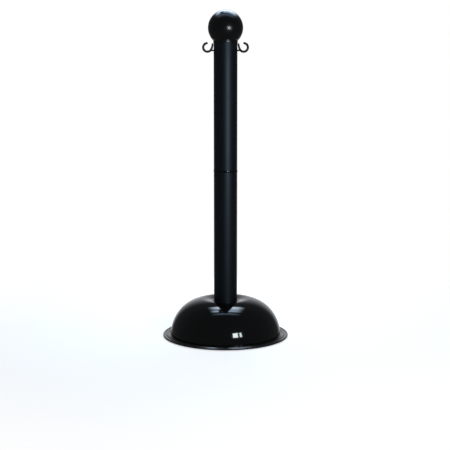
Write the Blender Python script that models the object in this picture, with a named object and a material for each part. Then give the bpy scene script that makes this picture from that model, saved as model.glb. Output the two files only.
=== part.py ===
"""A rope barrier stanchion: a domed, sand-filled base, a two-piece post, two rope hooks and a ball top.

Metres, +Z up. The origin is on the floor under the post's axis, and the hooks point along +X and -X.
Each object is one physical piece. Pieces that touch on the real stanchion keep GAP between them here.
"""

import bmesh
import bpy
from math import cos, pi, radians, sin
from mathutils import Vector

MM = 0.001
GAP = 0.3 * MM
AXIS = Vector((0, 0, 1))

# Turned pieces: facets round the axis. Pieces that fit each other share a count, so the facets line up.
BODY_FACETS = 40
SMALL_FACETS = 16
OFF_FACET = 0.6 * pi / SMALL_FACETS  # turns small round pieces, so that no corner meets a big facet's edge

# Overall
OVERALL_H = 1041.4 * MM

# Post
POST_R = 37.5 * MM
POST_WALL = 3.0 * MM

# Joint between the two tubes
JOINT_Z = 536.3 * MM
JOINT_RING_H = 5.0 * MM
JOINT_RING_PROUD = 1.0 * MM
SLEEVE_LENGTH = 60.0 * MM  # on each side of the ring
SLEEVE_WALL = 3.0 * MM
SLEEVE_LEAD = 2.0 * MM  # chamfer at each end of the sleeve

# Ball top
BALL_R = 55.35 * MM
BALL_WALL = 3.0 * MM
NECK_RING_PROUD = 1.3 * MM
NECK_RING_H = 7.0 * MM
SKIRT_LENGTH = 40.0 * MM
SKIRT_WALL = 3.0 * MM
SKIRT_SLOT_CLEAR = 2.5 * MM  # room for a hook's stem on each side and above
BALL_STEPS = 13
BALL_BORE_STEPS = 8

# Hooks
HOOK_DROP = 13.7 * MM  # centre of the hook's round part, below the tube's top end
HOOK_STANDOFF = 6.2 * MM  # how near the round part's centreline would come to the tube
HOOK_BEND_R = 13.3 * MM
HOOK_ROD_R = 3.65 * MM
HOOK_TIP_ANGLE = 80.0  # degrees above horizontal, where the outer tip ends
HOOK_STEM_ANGLE = -135.0  # where the stem meets the round part
HOOK_BACK_ANGLE = -150.0  # where the round part runs into the back arm
HOOK_ARM_RISE = 10.2 * MM  # the back arm's top, above the round part's centre
HOOK_ARM_STANDOFF = 3.2 * MM  # the back arm's top, clear of the tube
HOOK_ARM_TIP_R = 2.8 * MM
HOOK_ARM_PULL = 0.45  # how far along the arm its bend reaches, as a share of the arm
STEM_SIDE = 5.0 * MM
STEM_BARB_SIDE = 7.0 * MM
STEM_BARB_LENGTH = 3.5 * MM
BARB_FLANK = 0.9  # the barb's width beside the stem's, so that it slides through the same hole
BARB_TIP = 0.6  # the barb's height at its tip, beside the stem's
HOOK_FACETS = 12
HOOK_BEND_STEPS = 20
HOOK_ARM_STEPS = 6
ROD_END_LIFTS = (45, 75)  # degrees towards the pole of the rings that dome a rod's end

# Base
DOME_R = 179.15 * MM  # half width of the dome's curve where it meets the flange
DOME_FOOT_Z = 8.0 * MM
DOME_RISE = 117.7 * MM
DOME_ROUND_R = 0.572  # exponents of the dome's curve: 1 and 1 give an ellipse's quarter
DOME_ROUND_Z = 1.195
DISH_R = 80.0 * MM  # the dome's top starts to sink towards the post here
DISH_DEPTH = 9.4 * MM
DISH_ROUND = 1.5
DOME_WALL = 3.5 * MM
SKIN_STEPS = 15  # how many straight runs make up the dome's outer curve
ROOF_STEPS = 9
FLANGE_W = 24.05 * MM
FLANGE_UNDER_Z = 2.0 * MM
FLANGE_TOP_Z = 7.2 * MM
FLANGE_EDGE = 2.0 * MM
FLANGE_EDGE_STEPS = 4
GROOVE_INSET = 9.0 * MM  # the flange's groove, in from its edge
LAND_INSET = 4.4 * MM  # the flange's raised land, out from the dome's foot
GROOVE_DEPTH = 1.3 * MM
SOCKET_WALL = 3.0 * MM
SOCKET_LIP = 1.2 * MM
SOCKET_FLOOR = 3.0 * MM

# Bottom cover and what it carries
COVER_UNDER_Z = 5.0 * MM
COVER_T = 3.0 * MM
COVER_RIB_H = 1.5 * MM
COVER_RIB_W = 3.0 * MM
COVER_RIBS = 12
FIRST_RIB = 15  # degrees round from +X
SCREWS = 6
FIRST_SCREW = 30  # degrees round from +X
SCREW_INSET = 17.6 * MM  # screw centres, in from the cover's edge
SCREW_SHANK_R = 2.0 * MM
SCREW_SHANK_LENGTH = 18.0 * MM
SCREW_HEAD_R = 4.2 * MM
SCREW_HEAD_H = 2.0 * MM
SCREW_SLOT_W = 1.2 * MM
SCREW_SLOT_DEPTH = 0.9 * MM
SCREW_FACE = 0.8  # the flat of the head's face, as a share of the head
SCREW_TURN = 0.7  # radians between one screw's slot and the next, as a driver leaves them
BOSS_R = 6.5 * MM
FEET = 6
FOOT_R = 8.0 * MM
FOOT_EDGE = 0.8 * MM
FOOT_POCKET = 1.4 * MM  # how deep a foot is let into the flange
SAND_TOP_Z = 52.0 * MM

# Filling hole's plug, on the side away from the front
PLUG_R = 13.0 * MM
PLUG_LENGTH = 9.0 * MM
PLUG_WALL = 2.5 * MM
PLUG_RIM = 5.0 * MM  # how far the head reaches past the neck
PLUG_HEAD_H = 2.6 * MM
PLUG_GRIP_W = 4.0 * MM
PLUG_GRIP_H = 1.6 * MM
SEAL_ROD_R = 1.0 * MM
SEAL_GROOVE = 1.0 * MM
SEAL_SIDES = 6
SEAL_SQUEEZE = 0.5  # the pressed ring's height, as a share of its free height

# Sizes that follow from the ones above
BORE_R = POST_R - POST_WALL
SLEEVE_R = BORE_R - GAP
NECK_RING_R = POST_R + NECK_RING_PROUD
BALL_Z = OVERALL_H - BALL_R
NECK_RING_LOW = BALL_Z - (BALL_R**2 - NECK_RING_R**2) ** 0.5 - NECK_RING_H
POST_TOP_Z = NECK_RING_LOW - GAP
JOINT_RING_LOW = JOINT_Z - JOINT_RING_H / 2
JOINT_RING_HIGH = JOINT_Z + JOINT_RING_H / 2
HOOK_Z = POST_TOP_Z - HOOK_DROP
HOOK_X = POST_R + HOOK_STANDOFF + HOOK_BEND_R
STEM_Z = HOOK_Z + HOOK_BEND_R * sin(radians(HOOK_STEM_ANGLE))
SOCKET_R = POST_R + GAP
SOCKET_OUTER_R = SOCKET_R + SOCKET_WALL
COVER_TOP_Z = COVER_UNDER_Z + COVER_T
SOCKET_UNDER_Z = COVER_TOP_Z + GAP
SOCKET_FLOOR_Z = SOCKET_UNDER_Z + SOCKET_FLOOR
POST_FOOT_Z = SOCKET_FLOOR_Z + GAP
DOME_INNER_R = DOME_R - DOME_WALL
FLANGE_R = DOME_R + FLANGE_W
FOOT_CIRCLE_R = (DOME_INNER_R + FLANGE_R) / 2
COVER_R = DOME_INNER_R - GAP
SCREW_CIRCLE_R = COVER_R - SCREW_INSET
PLUG_Y = (SOCKET_OUTER_R + SCREW_CIRCLE_R) / 2
PLUG_HEAD_R = PLUG_R + PLUG_RIM
PLUG_SEAT_R = PLUG_R + 2 * PLUG_WALL
SEAL_R = PLUG_R + PLUG_RIM / 2


# Building blocks


def collection_of(name):
    collection = bpy.data.collections.new(name)
    bpy.context.scene.collection.children.link(collection)
    return collection


def finish(name, color, roughness, metallic=0.0, coat=0.0):
    material = bpy.data.materials.new(name)
    material.use_nodes = True
    shader = material.node_tree.nodes["Principled BSDF"]
    shader.inputs["Base Color"].default_value = (*color, 1)
    shader.inputs["Roughness"].default_value = roughness
    shader.inputs["Metallic"].default_value = metallic
    shader.inputs["Coat Weight"].default_value = coat
    return material


def object_from(bm, name, collection, material=None):
    """Closes a bmesh's seams, turns its faces outwards and makes it an object."""
    bmesh.ops.remove_doubles(bm, verts=bm.verts, dist=1e-6)
    bmesh.ops.recalc_face_normals(bm, faces=bm.faces)
    mesh = bpy.data.meshes.new(name)
    bm.to_mesh(mesh)
    bm.free()
    obj = bpy.data.objects.new(name, mesh)
    collection.objects.link(obj)
    mesh.shade_smooth()
    mesh.set_sharp_from_angle(angle=radians(30))
    if material:
        mesh.materials.append(material)
    return obj


def turned(name, outline, facets, collection, material=None):
    """A solid turned about Z from a closed outline of (radius, height) points."""
    bm = bmesh.new()
    verts = [bm.verts.new((r, 0, z)) for r, z in outline]
    edges = [bm.edges.new((a, b)) for a, b in zip(verts, verts[1:] + verts[:1])]
    for edge in list(edges):
        if all(v.co.x < 1e-7 for v in edge.verts):
            edges.remove(edge)
            bm.edges.remove(edge)
    bmesh.ops.spin(bm, geom=verts + edges, cent=(0, 0, 0), axis=AXIS, angle=2 * pi, steps=facets)
    bmesh.ops.dissolve_degenerate(bm, edges=bm.edges, dist=1e-7)
    return object_from(bm, name, collection, material)


def block(name, low, high, collection, material=None):
    bm = bmesh.new()
    bmesh.ops.create_cube(bm, size=1)
    size = Vector(high) - Vector(low)
    bmesh.ops.scale(bm, vec=size, verts=bm.verts)
    bmesh.ops.translate(bm, vec=(Vector(high) + Vector(low)) / 2, verts=bm.verts)
    return object_from(bm, name, collection, material)


def boolean(obj, operation, other, collection):
    """Joins other to obj, or cuts it from obj. Other becomes a helper that isn't a piece."""
    other.hide_render = True
    other.display_type = "WIRE"
    for owner in list(other.users_collection):
        owner.objects.unlink(other)
    collection.objects.link(other)
    modifier = obj.modifiers.new(other.name, "BOOLEAN")
    modifier.operation = operation
    modifier.object = other
    modifier.solver = "EXACT"


def arc(centre_r, centre_z, radius, start, end, steps):
    """Points (r, z) on an arc, both ends included, from one angle to another in degrees."""
    angles = [radians(start + (end - start) * i / steps) for i in range(steps + 1)]
    return [(centre_r + radius * cos(a), centre_z + radius * sin(a)) for a in angles]


def around(count, radius, first=0.0):
    """(x, y, angle) of places spread evenly round the axis."""
    angles = [radians(first) + 2 * pi * i / count for i in range(count)]
    return [(radius * cos(a), radius * sin(a), a) for a in angles]


# Base


def dome_height(r, wall=0.0):
    """Height of the dome's skin at radius r, or of a skin that lies a wall's thickness inside it."""
    share = min(r / (DOME_R - wall), 1.0)
    lean = (1 - share ** (2 / DOME_ROUND_R)) ** 0.5
    height = DOME_FOOT_Z + (DOME_RISE - wall) * lean**DOME_ROUND_Z
    if r < DISH_R:
        height -= DISH_DEPTH * ((DISH_R - r) / (DISH_R - SOCKET_R)) ** DISH_ROUND
    return height


def dome_curve(inner_r, steps, wall=0.0):
    """The skin's points from its foot up to inner_r, closer together where it bends more."""
    reach = DOME_R - wall
    share = inner_r / reach
    top = (1 - share ** (2 / DOME_ROUND_R)) ** 0.5
    points = []
    for i in range(steps + 1):
        lean = top * sin(pi / 2 * i / steps)
        r = reach * (1 - lean * lean) ** (DOME_ROUND_R / 2)
        points.append((r, dome_height(r, wall)))
    return points


def base_outline():
    """The dome with its flange and the socket that the post stands in, as one moulding."""
    rim = [
        (DOME_INNER_R, FLANGE_UNDER_Z),
        (FLANGE_R - FLANGE_EDGE / 2, FLANGE_UNDER_Z),
        *arc(FLANGE_R - FLANGE_EDGE, FLANGE_TOP_Z - FLANGE_EDGE, FLANGE_EDGE, -30, 90, FLANGE_EDGE_STEPS),
    ]
    groove_r = FLANGE_R - GROOVE_INSET
    land_r = DOME_R + LAND_INSET
    flange_top = [
        (groove_r + FLANGE_EDGE, FLANGE_TOP_Z),
        (groove_r, FLANGE_TOP_Z - GROOVE_DEPTH),
        (groove_r - FLANGE_EDGE, FLANGE_TOP_Z + GROOVE_DEPTH / 2),
        (land_r, FLANGE_TOP_Z + GROOVE_DEPTH / 2),
        (land_r - FLANGE_EDGE, FLANGE_TOP_Z - GROOVE_DEPTH),
    ]
    lip_r = SOCKET_R + 1.5 * SOCKET_LIP
    skin = dome_curve(lip_r + SOCKET_LIP, SKIN_STEPS)
    lip_z = skin[-1][1]
    socket = [
        (lip_r, lip_z + SOCKET_LIP),
        (SOCKET_R, lip_z + SOCKET_LIP / 2),
        (SOCKET_R, SOCKET_FLOOR_Z),
        (0, SOCKET_FLOOR_Z),
        (0, SOCKET_UNDER_Z),
        (SOCKET_OUTER_R, SOCKET_UNDER_Z),
    ]
    return rim + flange_top + skin + socket + roof_curve()[::-1]


def roof_curve():
    """The dome's inner skin, from the flange up to the socket."""
    return dome_curve(SOCKET_OUTER_R, ROOF_STEPS, DOME_WALL)


def below(points, height):
    """The start of a rising curve, cut off level at this height."""
    kept = [points[0]]
    for (r0, z0), (r1, z1) in zip(points, points[1:]):
        if z1 > height:
            share = (height - z0) / (z1 - z0)
            return kept + [(r0 + (r1 - r0) * share, height)]
        kept.append((r1, z1))
    return kept


def screw_places():
    return around(SCREWS, SCREW_CIRCLE_R, first=FIRST_SCREW)


def foot_places():
    return around(FEET, FOOT_CIRCLE_R)


def place(obj, x, y, z=0.0, turn=0.0):
    obj.location = (x, y, z)
    obj.rotation_euler = (0, 0, turn)
    return obj


def post_of_height(name, radius, low, high, facets, pieces):
    return turned(name, [(0, low), (radius, low), (radius, high), (0, high)], facets, pieces)


def dome_core(pieces):
    """A solid up to the middle of the dome's skin, which trims the screw bosses to the skin's shape."""
    skin = dome_curve(SOCKET_OUTER_R, 2 * SKIN_STEPS, DOME_WALL / 2)
    outline = [(0, 0), (skin[0][0], 0), *skin, (0, skin[-1][1])]
    return turned("dome_core", outline, BODY_FACETS, pieces)


def screw_boss(name, pieces):
    """A round post with a blind pilot hole from below, taller than the dome's hollow."""
    low = COVER_TOP_Z + GAP
    top = DOME_RISE
    hole_r = SCREW_SHANK_R + GAP
    hole_top = COVER_TOP_Z + SCREW_SHANK_LENGTH
    outline = [(hole_r, low), (BOSS_R, low), (BOSS_R, top), (0, top), (0, hole_top), (hole_r, hole_top)]
    return turned(name, outline, SMALL_FACETS, pieces)


def make_base_dome(pieces, helpers, material):
    dome = turned("base_dome", base_outline(), BODY_FACETS, pieces, material)
    core = dome_core(pieces)
    for i, (x, y, _) in enumerate(screw_places(), 1):
        boss = place(screw_boss(f"boss_{i}", pieces), x, y, turn=OFF_FACET)
        boolean(boss, "INTERSECT", core, helpers)
        boolean(dome, "UNION", boss, helpers)
    for i, (x, y, _) in enumerate(foot_places(), 1):
        top = FLANGE_UNDER_Z + FOOT_POCKET + GAP
        pocket = post_of_height(f"foot_pocket_{i}", FOOT_R + GAP, 0, top, SMALL_FACETS, pieces)
        boolean(dome, "DIFFERENCE", place(pocket, x, y, turn=OFF_FACET), helpers)
    return dome


def make_bottom_cover(pieces, helpers, material):
    outline = [(0, COVER_UNDER_Z), (COVER_R, COVER_UNDER_Z), (COVER_R, COVER_TOP_Z), (0, COVER_TOP_Z)]
    cover = turned("base_bottom_cover", outline, BODY_FACETS, pieces, material)
    rib_low = COVER_UNDER_Z - COVER_RIB_H
    hub_r = SOCKET_OUTER_R
    hub = post_of_height("hub", hub_r, rib_low, COVER_TOP_Z - COVER_T / 2, BODY_FACETS, pieces)
    boolean(cover, "UNION", hub, helpers)
    rib_end = COVER_R - 4 * COVER_RIB_W
    for i, (_, _, turn) in enumerate(around(COVER_RIBS, 1, first=FIRST_RIB), 1):
        low = (hub_r - COVER_RIB_W, -COVER_RIB_W / 2, rib_low)
        rib = block(f"rib_{i}", low, (rib_end, COVER_RIB_W / 2, COVER_TOP_Z - COVER_T / 2), pieces)
        boolean(cover, "UNION", place(rib, 0, 0, turn=turn), helpers)
    for i, (x, y, _) in enumerate(screw_places(), 1):
        name = f"cover_hole_{i}"
        hole = post_of_height(name, SCREW_SHANK_R + GAP, 0, 2 * COVER_TOP_Z, SMALL_FACETS, pieces)
        boolean(cover, "DIFFERENCE", place(hole, x, y, turn=OFF_FACET), helpers)
    boolean(cover, "UNION", plug_seat(pieces), helpers)
    hole = post_of_height("fill_hole", PLUG_R + GAP, 0, 2 * COVER_TOP_Z, 2 * SMALL_FACETS, pieces)
    boolean(cover, "DIFFERENCE", place(hole, 0, PLUG_Y), helpers)
    return cover


def plug_seat(pieces):
    """The thicker ring round the filling hole, inside the base, that the plug's neck screws into."""
    low = COVER_TOP_Z - COVER_T / 2
    high = COVER_TOP_Z + COVER_T
    seat = post_of_height("plug_seat", PLUG_SEAT_R, low, high, 2 * SMALL_FACETS, pieces)
    return place(seat, 0, PLUG_Y)


def make_sand(pieces, helpers, material):
    """The ballast: sand poured in to SAND_TOP_Z, level, round the socket and the screw bosses."""
    low = COVER_TOP_Z + GAP
    gap = 2 * GAP
    wall = below(roof_curve(), SAND_TOP_Z)[1:]
    outer = [(DOME_INNER_R - gap, low), *[(r - gap, z) for r, z in wall]]
    inner_r = SOCKET_OUTER_R + GAP
    outline = [(inner_r, low), *outer, (inner_r, SAND_TOP_Z)]
    sand = turned("sand_ballast", outline, BODY_FACETS, pieces, material)
    for i, (x, y, _) in enumerate(screw_places(), 1):
        name = f"boss_clearance_{i}"
        clear = post_of_height(name, BOSS_R + GAP, 0, 2 * SAND_TOP_Z, SMALL_FACETS, pieces)
        boolean(sand, "DIFFERENCE", place(clear, x, y, turn=OFF_FACET), helpers)
    room_r = PLUG_SEAT_R + GAP
    room_top = max(COVER_TOP_Z + COVER_T, COVER_UNDER_Z + PLUG_LENGTH) + GAP
    room = post_of_height("plug_room", room_r, 0, room_top, 2 * SMALL_FACETS, pieces)
    boolean(sand, "DIFFERENCE", place(room, 0, PLUG_Y), helpers)
    return sand


def make_cover_screw(number, x, y, pieces, helpers, material):
    """A slotted self-tapping screw, head down."""
    head_top = COVER_UNDER_Z - GAP
    head_low = head_top - SCREW_HEAD_H
    end = COVER_TOP_Z + SCREW_SHANK_LENGTH - GAP
    outline = [
        (0, head_low),
        (SCREW_HEAD_R * SCREW_FACE, head_low),
        (SCREW_HEAD_R, head_low + SCREW_HEAD_H / 2),
        (SCREW_HEAD_R, head_top),
        (SCREW_SHANK_R, head_top),
        (SCREW_SHANK_R, end - 2 * SCREW_SHANK_R),
        (0, end),
    ]
    screw = turned(f"cover_screw_{number}", outline, SMALL_FACETS, pieces, material)
    half = SCREW_SLOT_W / 2
    low = (-2 * SCREW_HEAD_R, -half, 0)
    high = (2 * SCREW_HEAD_R, half, head_low + SCREW_SLOT_DEPTH)
    slot = block(f"screw_slot_{number}", low, high, pieces)
    slot.parent = screw
    slot.rotation_euler.z = SCREW_TURN * number
    boolean(screw, "DIFFERENCE", slot, helpers)
    return place(screw, x, y)


def make_foot(number, x, y, pieces, material):
    """A round rubber pad let into the flange, with a softened edge at the floor."""
    top = FLANGE_UNDER_Z + FOOT_POCKET
    outline = [(0, 0), (FOOT_R - FOOT_EDGE, 0), (FOOT_R, FOOT_EDGE), (FOOT_R, top), (0, top)]
    foot = turned(f"rubber_foot_{number}", outline, SMALL_FACETS, pieces, material)
    return place(foot, x, y, turn=OFF_FACET)


def make_fill_plug(pieces, helpers, material):
    """A quarter-turn plug with a hollow neck and a grip bar across its head."""
    head_top = COVER_UNDER_Z - GAP
    head_low = head_top - PLUG_HEAD_H
    groove_low = head_top - SEAL_GROOVE
    groove_in = SEAL_R - SEAL_ROD_R - GAP
    groove_out = SEAL_R + SEAL_ROD_R + GAP
    neck_top = head_top + PLUG_LENGTH
    well_r = PLUG_R - PLUG_WALL
    outline = [
        (0, head_low + PLUG_GRIP_H / 2),
        (well_r, head_low + PLUG_GRIP_H / 2),
        (well_r, head_low),
        (PLUG_HEAD_R - GAP, head_low),
        (PLUG_HEAD_R, head_low + GAP),
        (PLUG_HEAD_R, head_top),
        (groove_out, head_top),
        (groove_out, groove_low),
        (groove_in, groove_low),
        (groove_in, head_top),
        (PLUG_R, head_top),
        (PLUG_R, neck_top),
        (well_r, neck_top),
        (well_r, head_top),
        (0, head_top),
    ]
    plug = turned("ballast_fill_plug", outline, 2 * SMALL_FACETS, pieces, material)
    low = (-well_r - PLUG_WALL / 2, -PLUG_GRIP_W / 2, head_low)
    bar = block("plug_grip", low, (well_r + PLUG_WALL / 2, PLUG_GRIP_W / 2, head_top - GAP), pieces)
    bar.parent = plug
    boolean(plug, "UNION", bar, helpers)
    return place(plug, 0, PLUG_Y)


def make_seal(pieces, material):
    """The plug's ring seal. Its top stops a gap below the cover."""
    centre_z = COVER_UNDER_Z - SEAL_GROOVE + SEAL_ROD_R * SEAL_SQUEEZE
    last = 360 - 360 / SEAL_SIDES
    free = arc(SEAL_R, centre_z, SEAL_ROD_R, 0, last, SEAL_SIDES - 1)
    ring = [(r, centre_z + (z - centre_z) * SEAL_SQUEEZE) for r, z in free]
    return place(turned("fill_plug_seal", ring, 2 * SMALL_FACETS, pieces, material), 0, PLUG_Y)


# Post


def tube(name, low, high, pieces, material):
    outline = [(BORE_R, low), (POST_R, low), (POST_R, high), (BORE_R, high)]
    return turned(name, outline, BODY_FACETS, pieces, material)


def make_lower_tube(pieces, material):
    return tube("lower_post_tube", POST_FOOT_Z, JOINT_RING_LOW - GAP, pieces, material)


def make_upper_tube(pieces, helpers, material):
    """The upper tube, with a square hole each side for the hooks' stems."""
    post = tube("upper_post_tube", JOINT_RING_HIGH + GAP, POST_TOP_Z, pieces, material)
    half = STEM_SIDE / 2 + GAP
    reach = 2 * POST_R
    hole = block("stem_holes", (-reach, -half, STEM_Z - half), (reach, half, STEM_Z + half), pieces)
    boolean(post, "DIFFERENCE", hole, helpers)
    return post


def make_coupler(pieces, material):
    """The sleeve inside both tubes, with the ring that shows between them."""
    ring_r = POST_R + JOINT_RING_PROUD
    soft = JOINT_RING_H / 4
    low = JOINT_RING_LOW - SLEEVE_LENGTH
    high = JOINT_RING_HIGH + SLEEVE_LENGTH
    bore = SLEEVE_R - SLEEVE_WALL
    outline = [
        (bore, low),
        (SLEEVE_R - SLEEVE_LEAD / 2, low),
        (SLEEVE_R, low + SLEEVE_LEAD),
        (SLEEVE_R, JOINT_RING_LOW),
        (ring_r - soft / 2, JOINT_RING_LOW),
        (ring_r, JOINT_RING_LOW + soft),
        (ring_r, JOINT_RING_HIGH - soft),
        (ring_r - soft / 2, JOINT_RING_HIGH),
        (SLEEVE_R, JOINT_RING_HIGH),
        (SLEEVE_R, high - SLEEVE_LEAD),
        (SLEEVE_R - SLEEVE_LEAD / 2, high),
        (bore, high),
    ]
    return turned("post_coupler", outline, BODY_FACETS, pieces, material)


def make_ball_top(pieces, helpers, material):
    """The hollow ball with its neck ring and the skirt that plugs into the upper tube."""
    skirt_low = NECK_RING_LOW - SKIRT_LENGTH
    bore = SLEEVE_R - SKIRT_WALL
    inner_r = BALL_R - BALL_WALL
    outer_start = -90 + degrees_at(NECK_RING_R, BALL_R)
    inner_start = -90 + degrees_at(bore, inner_r)
    outline = [
        (bore, skirt_low),
        (SLEEVE_R - SLEEVE_LEAD / 2, skirt_low),
        (SLEEVE_R, skirt_low + SLEEVE_LEAD),
        (SLEEVE_R, NECK_RING_LOW),
        (NECK_RING_R - GAP, NECK_RING_LOW),
        (NECK_RING_R, NECK_RING_LOW + GAP),
        *arc(0, BALL_Z, BALL_R, outer_start, 90, BALL_STEPS),
        *arc(0, BALL_Z, inner_r, 90, inner_start, BALL_BORE_STEPS),
    ]
    ball = turned("ball_top", [(max(r, 0), z) for r, z in outline], BODY_FACETS, pieces, material)
    half = STEM_SIDE / 2 + SKIRT_SLOT_CLEAR
    slot_top = STEM_Z + STEM_BARB_SIDE / 2 + SKIRT_SLOT_CLEAR
    low = (-POST_R, -half, skirt_low - SKIRT_LENGTH)
    slot = block("skirt_slots", low, (POST_R, half, slot_top), pieces)
    boolean(ball, "DIFFERENCE", slot, helpers)
    return ball


def degrees_at(radius, sphere_r):
    """How far from a sphere's pole, in degrees, it has this distance from the axis."""
    return Vector((0, 1)).angle(Vector((radius, (sphere_r**2 - radius**2) ** 0.5))) * 180 / pi


# Hooks


def hook_path():
    """Centres (x, z) and rod radii along the right-hand hook, from its outer tip to the back arm's top."""
    path = []
    for x, z in arc(HOOK_X, HOOK_Z, HOOK_BEND_R, HOOK_TIP_ANGLE, HOOK_BACK_ANGLE, HOOK_BEND_STEPS):
        path.append((Vector((x, 0, z)), HOOK_ROD_R))
    start = path[-1][0]
    end = Vector((POST_R + HOOK_ARM_STANDOFF, 0, HOOK_Z + HOOK_ARM_RISE))
    back = radians(HOOK_BACK_ANGLE)
    heading = Vector((sin(back), 0, -cos(back)))
    bend = start + heading * (end - start).length * HOOK_ARM_PULL
    for i in range(1, HOOK_ARM_STEPS + 1):
        t = i / HOOK_ARM_STEPS
        point = start * (1 - t) ** 2 + bend * 2 * t * (1 - t) + end * t * t
        path.append((point, HOOK_ROD_R + (HOOK_ARM_TIP_R - HOOK_ROD_R) * t))
    return path


def rod(name, path, facets, pieces, material):
    """A round rod of changing radius along a path in the XZ plane, with domed ends."""
    bm = bmesh.new()
    count = len(path)
    rings = []
    for i, (point, radius) in enumerate(path):
        ahead = path[min(i + 1, count - 1)][0] - path[max(i - 1, 0)][0]
        across = ahead.normalized().cross(Vector((0, 1, 0)))
        rings.append((point, ahead.normalized(), across, radius))
    first, last = rings[0], rings[-1]
    start_dome = [dome_ring(first, -1, lift) for lift in reversed(ROD_END_LIFTS)]
    end_dome = [dome_ring(last, 1, lift) for lift in ROD_END_LIFTS]
    loops = []
    for point, _, across, radius in start_dome + rings + end_dome:
        angles = [2 * pi * k / facets for k in range(facets)]
        ring = [point + (across * cos(a) + Vector((0, 1, 0)) * sin(a)) * radius for a in angles]
        loops.append([bm.verts.new(p) for p in ring])
    for a, b in zip(loops, loops[1:]):
        for k in range(facets):
            bm.faces.new((a[k], a[(k + 1) % facets], b[(k + 1) % facets], b[k]))
    bm.faces.new(loops[0])
    bm.faces.new(loops[-1])
    return object_from(bm, name, pieces, material)


def dome_ring(ring, sign, lift):
    """One ring of the dome that closes a rod's end, at this many degrees towards the pole."""
    point, ahead, across, radius = ring
    centre = point + ahead * sign * radius * sin(radians(lift))
    return (centre, ahead, across, radius * cos(radians(lift)))


def make_hook(name, side, pieces, helpers, material):
    """A hook with the square stem that snaps through the tube's wall. side is 1 for +X, -1 for -X."""
    hook = rod(name, hook_path(), HOOK_FACETS, pieces, material)
    half = STEM_SIDE / 2
    inside = BORE_R - GAP
    stem_end = HOOK_X + HOOK_BEND_R * cos(radians(HOOK_STEM_ANGLE))
    low = (inside - GAP, -half, STEM_Z - half)
    stem = block(f"{name}_stem", low, (stem_end, half, STEM_Z + half), pieces)
    stem.parent = hook
    boolean(hook, "UNION", stem, helpers)
    barb = barb_block(f"{name}_barb", inside, pieces)
    barb.parent = hook
    boolean(hook, "UNION", barb, helpers)
    if side < 0:
        hook.rotation_euler.z = pi
    return hook


def barb_block(name, inside, pieces):
    """The arrowhead behind the tube's wall, wide at the wall and narrow at its tip."""
    bm = bmesh.new()
    bmesh.ops.create_cube(bm, size=1)
    wide = STEM_BARB_SIDE / STEM_SIDE
    for vert in bm.verts:
        at_wall = vert.co.x > 0
        vert.co.x = inside if at_wall else inside - STEM_BARB_LENGTH
        vert.co.y *= STEM_SIDE * BARB_FLANK
        vert.co.z = STEM_Z + vert.co.z * STEM_SIDE * (wide if at_wall else BARB_TIP)
    return object_from(bm, name, pieces)


def main():
    for obj in list(bpy.data.objects):
        bpy.data.objects.remove(obj)
    pieces = collection_of("stanchion")
    helpers = collection_of("helpers")

    gloss_black = finish("gloss_black", (0.012, 0.012, 0.014), 0.12, coat=0.3)
    satin_black = finish("satin_black", (0.014, 0.014, 0.016), 0.32)
    hook_black = finish("hook_black", (0.012, 0.012, 0.013), 0.4)
    dull_black = finish("dull_black", (0.02, 0.02, 0.022), 0.55)
    zinc = finish("zinc", (0.62, 0.63, 0.65), 0.35, metallic=1.0)
    rubber = finish("rubber", (0.03, 0.03, 0.03), 0.85)
    sand = finish("sand", (0.55, 0.43, 0.28), 0.95)

    make_base_dome(pieces, helpers, gloss_black)
    make_bottom_cover(pieces, helpers, dull_black)
    make_sand(pieces, helpers, sand)
    for number, (x, y, _) in enumerate(screw_places(), 1):
        make_cover_screw(number, x, y, pieces, helpers, zinc)
    for number, (x, y, _) in enumerate(foot_places(), 1):
        make_foot(number, x, y, pieces, rubber)
    make_fill_plug(pieces, helpers, dull_black)
    make_seal(pieces, rubber)
    make_lower_tube(pieces, satin_black)
    make_coupler(pieces, satin_black)
    make_upper_tube(pieces, helpers, satin_black)
    make_hook("hook_right", 1, pieces, helpers, hook_black)
    make_hook("hook_left", -1, pieces, helpers, hook_black)
    make_ball_top(pieces, helpers, gloss_black)


main()
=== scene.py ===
"""Finished model of a rope barrier stanchion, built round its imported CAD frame.

Sizes are in millimetres, as on a drawing, until a mesh is made; Blender works in metres.
The origin is on the floor under the post's axis, with +Z up and the rope hooks along X.
"""

import logging
from collections.abc import Callable, Sequence
from dataclasses import dataclass
from enum import Enum
from functools import cache
from math import asin, atan2, cos, degrees, floor, hypot, pi, radians, sin

import bmesh
import bpy
from mathutils import Matrix, Vector


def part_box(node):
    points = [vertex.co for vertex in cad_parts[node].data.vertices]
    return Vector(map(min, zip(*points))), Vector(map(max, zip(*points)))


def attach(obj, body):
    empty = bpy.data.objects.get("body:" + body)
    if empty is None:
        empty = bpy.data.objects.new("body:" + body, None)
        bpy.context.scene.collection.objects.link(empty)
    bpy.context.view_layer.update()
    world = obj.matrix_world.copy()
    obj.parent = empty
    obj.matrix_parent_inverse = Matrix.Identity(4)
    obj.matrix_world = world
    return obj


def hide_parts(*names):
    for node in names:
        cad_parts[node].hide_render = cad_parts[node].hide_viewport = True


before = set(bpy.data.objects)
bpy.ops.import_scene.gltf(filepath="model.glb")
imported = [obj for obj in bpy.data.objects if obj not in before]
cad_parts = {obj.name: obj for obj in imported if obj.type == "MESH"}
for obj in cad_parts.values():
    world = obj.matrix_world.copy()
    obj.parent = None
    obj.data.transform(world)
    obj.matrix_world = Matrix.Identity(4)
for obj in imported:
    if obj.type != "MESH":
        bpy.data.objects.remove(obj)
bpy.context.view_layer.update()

MM = 0.001
WELD = 1e-6  # metres
SMOOTH_BELOW = radians(32)
CORNER_STEPS = 5
CORNER_SHARE = 0.48  # how much of each side a rounded corner may take

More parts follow.
